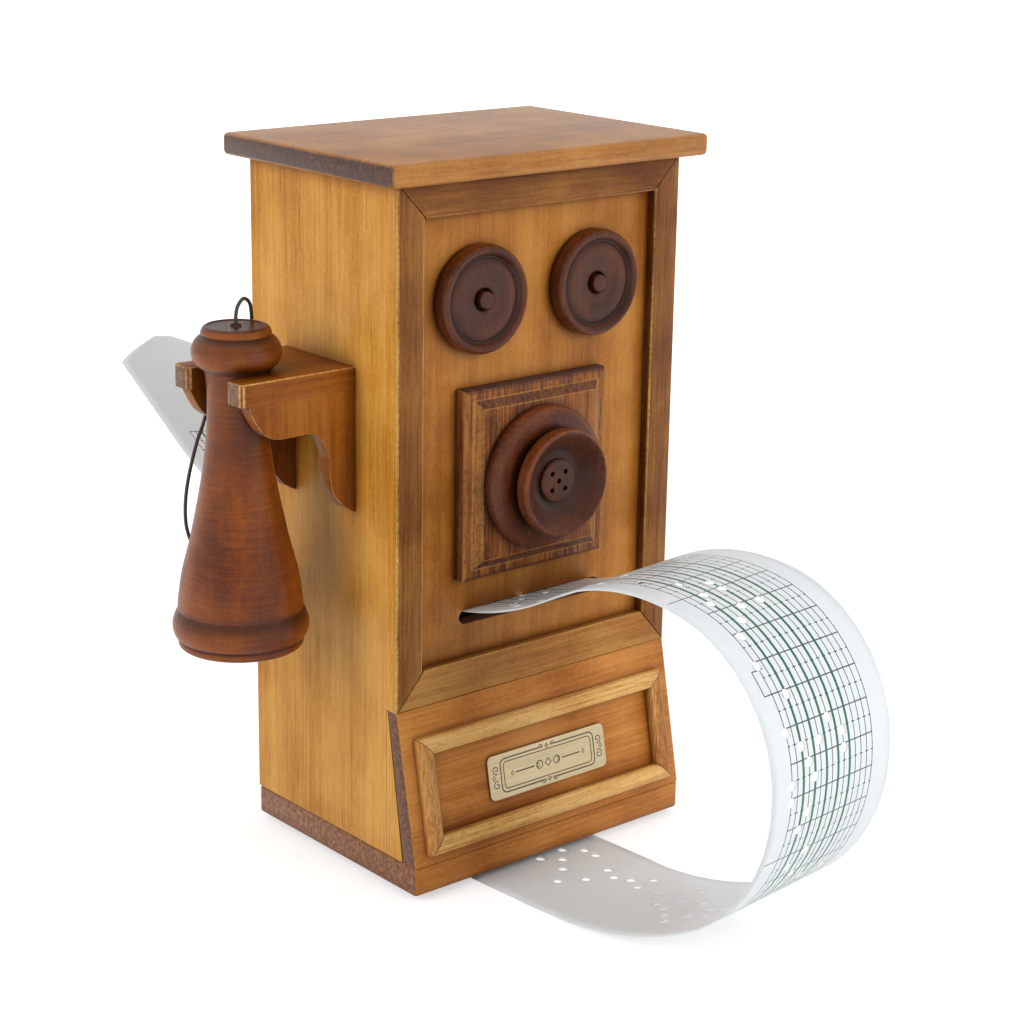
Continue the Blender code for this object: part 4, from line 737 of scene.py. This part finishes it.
def makeStrip():
    (wide, deep), radius = strip["holeCell"], strip["holeRadius"]
    columns = [-strip["halfWidth"], -18.0] + [-15.5 + i for i in range(32)] + [18.0, strip["halfWidth"]]
    rows = [0.0, 1.0, 2.5, 4.5, 7.0, 9.5, strip["noseLength"]]
    firstBeat, lastBeat = 4, int((stripLength - 3) / strip["beatMm"])
    for beat in range(firstBeat, lastBeat + 1):
        rows += [beat * strip["beatMm"] - deep, beat * strip["beatMm"] + deep]
    rows.append(stripLength)
    bm = bmesh.new()
    printPlace = bm.loops.layers.uv.new("printPlace")
    flat = {}

    def corner(u, v):
        vert = bm.verts.new(onStrip(u, v))
        flat[vert] = (u, v)
        return vert

    grid = []
    for v in rows:
        share = halfWidthAt(v) / strip["halfWidth"]
        grid.append([corner(u * share, v) for u in columns])
    cells = {(columns.index(2.0 * line - 14 - wide), rows.index(beat * strip["beatMm"] - deep))
             for line, beat in punchedCells() if firstBeat <= beat <= lastBeat}
    taken = {(c + i, r) for c, r in cells for i in range(3)}
    for r in range(len(rows) - 1):
        for c in range(len(columns) - 1):
            if (c, r) not in taken:
                bm.faces.new((grid[r][c], grid[r + 1][c], grid[r + 1][c + 1], grid[r][c + 1]))
    for c, r in cells:
        # the cell's eight corners, each joined to its stretch of the round edge
        outer = [grid[r + 1][c + i] for i in range(4)] + [grid[r][c + i] for i in (3, 2, 1, 0)]
        u, v = columns[c] + wide, rows[r] + deep
        angles = [math.atan2(flat[vert][1] - v, flat[vert][0] - u) for vert in outer]
        edge, starts = [], []
        for i in range(8):
            turn = (angles[(i + 1) % 8] - angles[i] + math.pi) % (2 * math.pi) - math.pi
            steps = 4 if abs(turn) > 1 else 2
            starts.append(len(edge))
            for k in range(steps):
                a = angles[i] + turn * k / steps
                edge.append(corner(u + radius * math.cos(a), v + radius * math.sin(a)))
        for i in range(8):
            last = starts[i + 1] if i < 7 else len(edge)
            run = [edge[k % len(edge)] for k in range(starts[i], last + 1)]
            bm.faces.new([outer[i], outer[(i + 1) % 8]] + run[::-1])
    for face in bm.faces:
        for loop in face.loops:
            loop[printPlace].uv = flat[loop.vert]
    bmesh.ops.triangulate(bm, faces=[face for face in bm.faces if len(face.verts) > 4])
    bm.normal_update()
    piece = objectFrom(bm, "punchedStrip")
    piece.data.shade_smooth()
    thick = piece.modifiers.new("cardThickness", "SOLIDIFY")
    thick.thickness = strip["thickness"] / 1000
    thick.offset = -1
    thick.material_offset = thick.material_offset_rim = 1
    return piece


def within(add, value, low, high):
    above = add("Math", {"operation": "GREATER_THAN", 1: low, 0: value})
    below = add("Math", {"operation": "LESS_THAN", 1: high, 0: value})
    return add("Math", {"operation": "MULTIPLY", 0: above, 1: below})


def ruledMask(add, value, first, spacing, width, low, high):
    # 1 on lines of that width, every spacing from the first, between low and high, all in mm
    moved = add("Math", {"operation": "SUBTRACT", 1: first, 0: value})
    away = add("Math", {"operation": "PINGPONG", 1: spacing / 2, 0: moved})
    onLine = add("Math", {"operation": "LESS_THAN", 1: width / 2, 0: away})
    return add("Math", {"operation": "MULTIPLY", 0: onLine, 1: within(add, value, low, high)})


# The print: each set of lines as first, spacing, width and reach, across the card or along it, in mm.
ruling = {
    "notes": (0, 2, 0.26, -14.2, 14.2), "dashes": (0, 2, 1.1, -14.2, 14.2),
    "field": (0, 40, 28.4, -14.3, 14.3), "staff": (-2, 4, 0.72, -10.4, 6.4), "start": 43,
    "beats": (43, 8, 0.3, 42.8, stripLength + 1), "halfBeats": (47, 8, 0.28, 43, stripLength + 1),
    # bar ticks out into the margin, square repeat marks, and half the width of their lines
    "bars": (139, 203, 251, 323, 355), "barReach": (-18.6, -14.0),
    "squares": ((-12.9, -16.4, 277, 283), (9.1, 14.9, 223, 229)), "halfLine": 0.14,
}


def cardFinish(name, printed):
    # Coated card, calendered smooth: a cool white with a faint cloudiness and a low sheen.
    material, add, shader, place = newMaterial(name)
    size = add("Mapping", {"Scale": (1000, 1000, 1000), "Vector": place.outputs["Object"]})
    pulp = add("TexNoise", {"Scale": 1 / 3.0, "Detail": 5.0, "Vector": size})
    card = add("Mix", {
        "data_type": "RGBA", 6: linearColour("#E3E9EC"), 7: linearColour("#EBF0F2"), 0: pulp})
    surface = card.outputs[2]
    if printed:
        parts = add("SeparateXYZ", {0: add("UVMap", {"uv_map": "printPlace"})})
        u, v = parts.outputs[0], parts.outputs[1]
        ruled = add("Math", {"operation": "GREATER_THAN", 1: ruling["start"], 0: v})
        notes, dashes, field, staff = (
            ruledMask(add, u, *ruling[key]) for key in ("notes", "dashes", "field", "staff"))
        beats, halfBeats = (ruledMask(add, v, *ruling[key]) for key in ("beats", "halfBeats"))
        # low u, high u, low v, high v
        half = ruling["halfLine"]
        ticks = [(*ruling["barReach"], bar - half, bar + half) for bar in ruling["bars"]]
        for inner, outer, near, far in ruling["squares"]:
            ticks += [(min(inner, outer), max(inner, outer), v0 - half, v0 + half) for v0 in (near, far)]
            ticks.append((outer - half, outer + half, near, far))
        marks = [(beats, field), (halfBeats, dashes), (notes, ruled)]
        marks += [(within(add, u, low, high), within(add, v, near, far))
                  for low, high, near, far in ticks]
        black = 0.0
        for lines, reach in marks:
            mark = add("Math", {"operation": "MULTIPLY", 0: lines, 1: reach})
            black = add("Math", {"operation": "MAXIMUM", 0: black, 1: mark})
        inked = add("Mix", {"data_type": "RGBA", 7: linearColour("#3B3F40"), 0: black, 6: surface})
        staffOn = add("Math", {"operation": "MULTIPLY", 0: staff, 1: ruled})
        green = add("Mix", {
            "data_type": "RGBA", 7: linearColour("#1F6048"), 0: staffOn, 6: inked.outputs[2]})
        surface = green.outputs[2]
    setNode(shader, {"Base Color": surface, "Roughness": 0.45, "Coat Weight": 0.1})
    return material


punched = makeStrip()
punched.data.materials.append(cardFinish("printedCard", True))
punched.data.materials.append(cardFinish("plainCard", False))
dress(punched, None, "case", "printed_card", "paper_strip")
print("strip punched:", round(stripLength), "mm long")


# The cord of the handset, in mm.
cord = {
    "diameterMm": 0.9,
    # out from the handset's axis, back from it, level; then the lane behind the fork: out, level
    "head": (
        (0, 0, 133.5), (0, 0, 137.5), (0, 0, 141.2), (0.9, 0.4, 143.6), (3.2, 1.4, 144.9),
        (5.5, 2.5, 143.6), (6.8, 3.6, 141.0), (8.0, 5.4, 137.5), (9.0, 8.2, 133.5), (8.3, 13.5, 129.5),
        (6.8, 18.4, 125.0)),
    "laneBack": 19.8,
    "lane": (
        (5.5, 118.0), (3.5, 111.5), (1.3, 106.5), (-1.2, 98.5), (-2.4, 91.5), (-2.1, 85.0), (0.5, 79.0),
        (5.5, 75.2), (12.5, 74.1), (19.5, 74.0), (27.5, 74.0)),
}


def makeCord():
    x0, y0 = handset["axis"]
    rows = [(x0 + x, y0 + y, z) for x, y, z in cord["head"]]
    rows += [(x0 + x, y0 + cord["laneBack"], z) for x, z in cord["lane"]]
    line = [spot(*row) for row in smoothRow(rows, 6)]
    curve = bpy.data.curves.new("handsetCord", "CURVE")
    curve.dimensions = "3D"
    curve.bevel_depth = cord["diameterMm"] / 2000
    curve.bevel_resolution = 4
    curve.use_fill_caps = True
    spline = curve.splines.new("POLY")
    spline.points.add(len(line) - 1)
    for point, place in zip(spline.points, line):
        point.co = (*place, 1)
    guide = linked("cordGuide", curve)
    bm = bmesh.new()
    bm.from_mesh(meshOf(guide))
    bpy.data.objects.remove(guide)
    bmesh.ops.remove_doubles(bm, verts=bm.verts, dist=1e-6)
    made = objectFrom(bm, "handsetCord", 60)
    made.data.materials.clear()
    made.data.materials.append(waxedCord)
    length = sum((b - a).length for a, b in zip(line, line[1:]))
    return made, line, length


cordPiece, cordLine, cordLength = makeCord()
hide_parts("handset_cord")
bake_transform(cordPiece)
print("cord length:", round(cordLength * 1000), "mm")


def crispPiece(node, material, body, slot, easeMm):
    # a made copy of the solid with its sharp edges broken by a fine chamfer that catches the light
    bm = solidMesh(node, 0.6)
    weights = bm.edges.layers.float.new("bevel_weight_edge")
    for edge in bm.edges:
        if len(edge.link_faces) == 2 and edge.calc_face_angle(0) > math.radians(35):
            edge[weights] = 1.0
    piece = objectFrom(bm, node + "_finished", 35)
    eased(piece, easeMm, 2).harden_normals = True
    return dress(piece, material, body, slot, node)


# each group: finish, slot, body, width of the broken edge in mm, and its nodes
hardware = (
    (brushedBrass, "brushed_brass", "case", 0.12, ("name_plate",)),
    (castZinc, "cast_zinc", "case", 0.2, ("movement_bed", "movement_cheek_left", "movement_cheek_right")),
    (drawnSteel, "steel", "case", 0.05, ("comb",)),
    (drawnSteel, "steel", "case", 0.1, ("star_spindle",)),
    (turnedBrass, "brushed_brass", "star_wheels", 0.04, ("star_wheels",)),
    (nitrileRubber, "black_rubber", "feed_roller", 0.15, ("feed_roller",)),
    (turnedBrass, "brushed_brass", "feed_roller", 0.06, ("feed_gear",)),
    (drawnSteel, "steel", "pressure_roller", 0.12, ("pressure_roller",)),
    (drawnSteel, "steel", "crank", 0.15, ("crank_rod",)),
    (turnedBrass, "brushed_brass", "crank", 0.05, ("crank_pinion",)),
    (turnedBrass, "brushed_brass", "case", 0.15, ("crank_bushing",)),
    (pressedFelt, "green_felt", "case", 0.3, (
        "foot_pad_front_left", "foot_pad_front_right", "foot_pad_back_left", "foot_pad_back_right")),
)
for finish, slot, body, ease, nodes in hardware:
    for node in nodes:
        crispPiece(node, finish, body, slot, ease)

# etched line border of the plate, filled with black: half sizes, gaps and widths in mm
etching = {
    "line": 0.32, "fineLine": 0.24, "rise": 0.015, "sink": 0.05, "outer": (15.6, 4.3, 1.5),
    "inner": (14.6, 3.4, 1.0), "gap": 1.3, "scrollAt": (17.1, 2.0), "scrollRadius": 1.2,
}


def plateSpot():
    # the plate's own plane, from its largest face
    bm = solidMesh("name_plate", 1)
    face = max((f for f in bm.faces if f.normal.y < 0), key=lambda f: f.calc_area())
    middle, out = face.calc_center_bounds(), face.normal.copy()
    bm.free()
    up = out.cross(Vector((1, 0, 0))).normalized()
    up = up if up.z > 0 else -up
    return lambda u, v, lift: middle + (Vector((1, 0, 0)) * u + up * v + out * lift) / 1000


def ribbon(bm, line, width, place, closed=False):
    rings = []
    for i, (u, v) in enumerate(line):
        before = line[i - 1] if i or closed else line[i]
        after = line[(i + 1) % len(line)] if i < len(line) - 1 or closed else line[i]
        run = Vector((after[0] - before[0], after[1] - before[1])).normalized() * width / 2
        rings.append([bm.verts.new(place(u - s * run.y, v + s * run.x, lift)) for s, lift in (
            (1, -etching["sink"]), (1, etching["rise"]), (-1, etching["rise"]), (-1, -etching["sink"]))])
    pairs = list(zip(rings, rings[1:] + rings[:1]))
    for low, high in pairs if closed else pairs[:-1]:
        for k in range(4):
            bm.faces.new((low[k], high[k], high[(k + 1) % 4], low[(k + 1) % 4]))
    if not closed:
        bm.faces.new(rings[0][::-1])
        bm.faces.new(rings[-1])


def arcRow(u, v, radius, start, turn, shrink=0.0, steps=10):
    row = []
    for k in range(steps + 1):
        a, r = math.radians(start + turn * k / steps), radius * (1 - shrink * k / steps)
        row.append((u + r * math.cos(a), v + r * math.sin(a)))
    return row


def makeEtching():
    place = plateSpot()
    bm = bmesh.new()

    def draw(line, width, across=1, along=1, closed=False):
        ribbon(bm, [(across * a, along * b) for a, b in line], etching[width], place, closed)

    def diamond(u, v, wide, high, width):
        draw([(u + wide, v), (u, v + high), (u - wide, v), (u, v - high)], width, closed=True)

    wide, high, curve = etching["outer"]
    u, v = etching["scrollAt"]
    for side in (-1, 1):
        half = [(etching["gap"], high)] + arcRow(wide - curve, high - curve, curve, 90, -90, steps=6)
        half += arcRow(wide - curve, curve - high, curve, 0, -90, steps=6) + [(etching["gap"], -high)]
        draw(half, "line", side)
        for level in (-1, 1):
            draw(arcRow(u, v, etching["scrollRadius"], -110, 430, 0.8, 22), "fineLine", side, level)
            draw(arcRow(etching["gap"] + 0.75, high, 0.75, 180, -150, 0.2), "fineLine", side, level)
            draw(arcRow(3.1, 0, 1.3, 180, -300, 0.75, 18), "fineLine", side, level)
        draw(((4.6, 0), (7.5, 0), (10.8, 0)), "line", side)
        for a, size in ((17.9, 0.5), (11.9, 0.45)):
            diamond(side * a, 0, side * size, size * 1.3, "fineLine")
    wide, high, curve = etching["inner"]
    inner = []
    for a, b, start in ((1, 1, 90), (1, -1, 0), (-1, -1, -90), (-1, 1, 180)):
        inner += arcRow(a * (wide - curve), b * (high - curve), curve, start, -90, steps=5)
    draw(inner, "fineLine", closed=True)
    for level, size in ((0, 1.0), (4.3, 0.5), (-4.3, 0.5)):
        diamond(0, level, size, size, "line")
    bmesh.ops.recalc_face_normals(bm, faces=bm.faces)
    return objectFrom(bm, "etchedBorder")


dress(makeEtching(), blackFilling, "case", "brushed_brass")

# Zinc-plated cross-recess screws: which way each pair's heads face, and their heads' height in mm.
crossScrews = {
    f"{group}_{side}": facts for group, facts in (
        ("back_screw_lower", ((0, 1, 0), 1.0)), ("back_screw_upper", ((0, 1, 0), 1.0)),
        ("comb_screw", ((0, 0, 1), 1.2)), ("bed_screw", ((0, 0, -1), 1.2)),
    ) for side in ("left", "right")
}


def crossScrew(node, direction, headHeight):
    low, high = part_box(node)
    way = Vector(direction)
    size = (high - low) * 1000
    long, head = abs(size.dot(way)), min(size.x, size.y, size.z) / 2
    top = boxSpot(node, *((1 + d) / 2 for d in direction))
    foot, shank, end = top - way * headHeight / 1000, head * 0.6, headHeight - long
    rows = (
        ((0, end), (shank * 0.8, end), (shank, end + 0.4)), ((shank, end + 0.4), (shank, 0)),
        ((shank, 0), (head * 0.97, 0)),
        ((head * 0.97, 0), (head, 0.12), (head * 0.96, headHeight * 0.45),
         (head * 0.8, headHeight * 0.82), (head * 0.5, headHeight * 0.97), (0, headHeight)),
    )
    made = turnedPiece(node + "_turned", rows, foot, direction, 48, 4)
    recess = bmesh.new()
    aim = Vector((0, 0, 1)).rotation_difference(way).to_matrix()
    arm, slit = head * 0.58, head * 0.13
    quarter = ((arm, -slit), (arm, slit), (slit, slit))
    outline = [(u, v) for u, v in quarter] + [(-v, u) for u, v in quarter]
    outline += [(-u, -v) for u, v in outline]
    floor, roof = ([recess.verts.new(top + aim @ Vector((u, v, level * headHeight)) / 1000)
                    for u, v in outline] for level in (-0.6, 0.5))
    recess.faces.new(floor[::-1])
    recess.faces.new(roof)
    for i in range(12):
        j = (i + 1) % 12
        recess.faces.new((floor[i], floor[j], roof[j], roof[i]))
    bmesh.ops.recalc_face_normals(recess, faces=recess.faces)
    drilled(made, objectFrom(recess, "crossPunch"))
    return dress(made, zincScrew, "case", "steel", node)


for node, (direction, headHeight) in crossScrews.items():
    crossScrew(node, direction, headHeight)

# the crank's knob, moulded with a waisted grip and a bore for the rod, as (radius, height)
knob = {
    "stretches": (
        ((0, 12.1), (1.6, 12.1)), ((1.6, 12.1), (1.6, 0.05)),
        ((1.6, 0.05), (3.5, 0.05)),
        ((3.5, 0.05), (3.85, 0.3), (3.95, 1), (3.85, 2.6), (3.9, 4.6), (4.15, 7),
         (4.5, 9.4), (4.72, 11.2), (4.62, 12.4), (4.1, 13.15)),
        ((4.1, 13.15), (3.3, 13.4), (1.8, 13.46), (0, 13.48)),
    ),
}
grip = turnedPiece("mouldedKnob", knob["stretches"], boxSpot("crank_knob", 0, 0.5, 0.5), (1, 0, 0), 72)
dress(grip, mouldedKnob, "crank_knob", "black_knob", "crank_knob")
print("hardware finished:", sum(len(group[-1]) for group in hardware) + len(crossScrews) + 2)


def seenDirectly(add):
    # 1 for the camera, and for what metal and glass show
    rays = add("LightPath")
    seen = add("Math", {
        "operation": "MAXIMUM", 0: rays.outputs["Is Camera Ray"], 1: rays.outputs["Is Glossy Ray"]})
    return add("Math", {"operation": "MAXIMUM", 0: seen, 1: rays.outputs["Is Transmission Ray"]})


stage = {
    # the floor glows for the camera from the first distance in metres, in full from the second
    "floor": "#E4E4E4", "glowFrom": 0.2, "glowTo": 0.9, "glowLeast": 0.5,
    # strength of the white tent, less on its open side where the camera stands
    "tent": 0.7, "open": 0.25, "openWay": (-0.64, -0.75, 0.12),
    # name, place in mm, width in metres and watts
    "lamps": (("sideLamp", (-820, 90, 430), 0.6, 4.0), ("frontLamp", (250, -900, 420), 0.7, 5.0)),
    "middle": (0, 25, 90),
}


def makeStage():
    bpy.ops.mesh.primitive_plane_add(size=6)
    floor = bpy.context.object
    floor.name = "paleFloor"
    material, add, shader, place = newMaterial("paleFloor")
    # the floor's own white grows away from the part, so that only the shadow round it shows
    away = add("VectorMath", {"operation": "LENGTH", 0: place.outputs["Object"]})
    white = add("MapRange", {
        "From Min": stage["glowFrom"], "From Max": stage["glowTo"], "To Min": stage["glowLeast"],
        "Value": away.outputs["Value"]})
    glow = add("Math", {"operation": "MULTIPLY", 0: seenDirectly(add), 1: white})
    setNode(shader, {"Base Color": linearColour(stage["floor"]), "Roughness": 0.9,
                     "Emission Color": (1, 1, 1, 1), "Emission Strength": glow})
    floor.data.materials.append(material)

    world = bpy.data.worlds.new("softStudio")
    bpy.context.scene.world = world
    world.use_nodes = True
    world.node_tree.nodes.clear()
    add = partial(addNode, world.node_tree)
    toward = add("VectorMath", {
        "operation": "DOT_PRODUCT", 1: stage["openWay"], 0: add("TexCoord").outputs["Generated"]})
    tent = add("MapRange", {
        "interpolation_type": "SMOOTHSTEP", "From Min": 0.15, "From Max": 0.8,
        "To Min": stage["tent"], "To Max": stage["open"], "Value": toward.outputs["Value"]})
    white = add("Math", {"operation": "MAXIMUM", 0: tent, 1: seenDirectly(add)})
    sky = add("Background", {"Color": (1, 1, 1, 1), "Strength": white})
    add("OutputWorld", {"Surface": sky})


def softLamp(name, place, size, watts):
    light = bpy.data.lights.new(name, "AREA")
    light.shape = "DISK"
    light.size = size
    light.energy = watts
    lamp = linked(name, light)
    lamp.location = place
    lamp.rotation_euler = (spot(*stage["middle"]) - place).to_track_quat("-Z", "Y").to_euler()
    lamp.visible_glossy = False


makeStage()
for name, place, size, watts in stage["lamps"]:
    softLamp(name, spot(*place), size, watts)

camera = {
    "place": (-370.44, -420.51, 256.38), "lens": 82.96,
    "right": (0.76116, -0.64836, 0.01627), "down": (-0.17436, -0.22873, -0.95775),
    "forward": (0.62469, 0.72616, -0.28714),
}
lens = bpy.data.cameras.new("photoCamera")
lens.lens = camera["lens"]
lens.sensor_width = 36
lens.clip_start = 0.01
eye = linked("photoCamera", lens)
right, down, forward = (Vector(camera[k]).normalized() for k in ("right", "down", "forward"))
turn = Matrix((right, -down, -forward)).transposed().to_4x4()
eye.matrix_world = Matrix.Translation(spot(*camera["place"])) @ turn
bpy.context.scene.camera = eye
bpy.context.scene.view_settings.view_transform = "Standard"

print("scene ready")
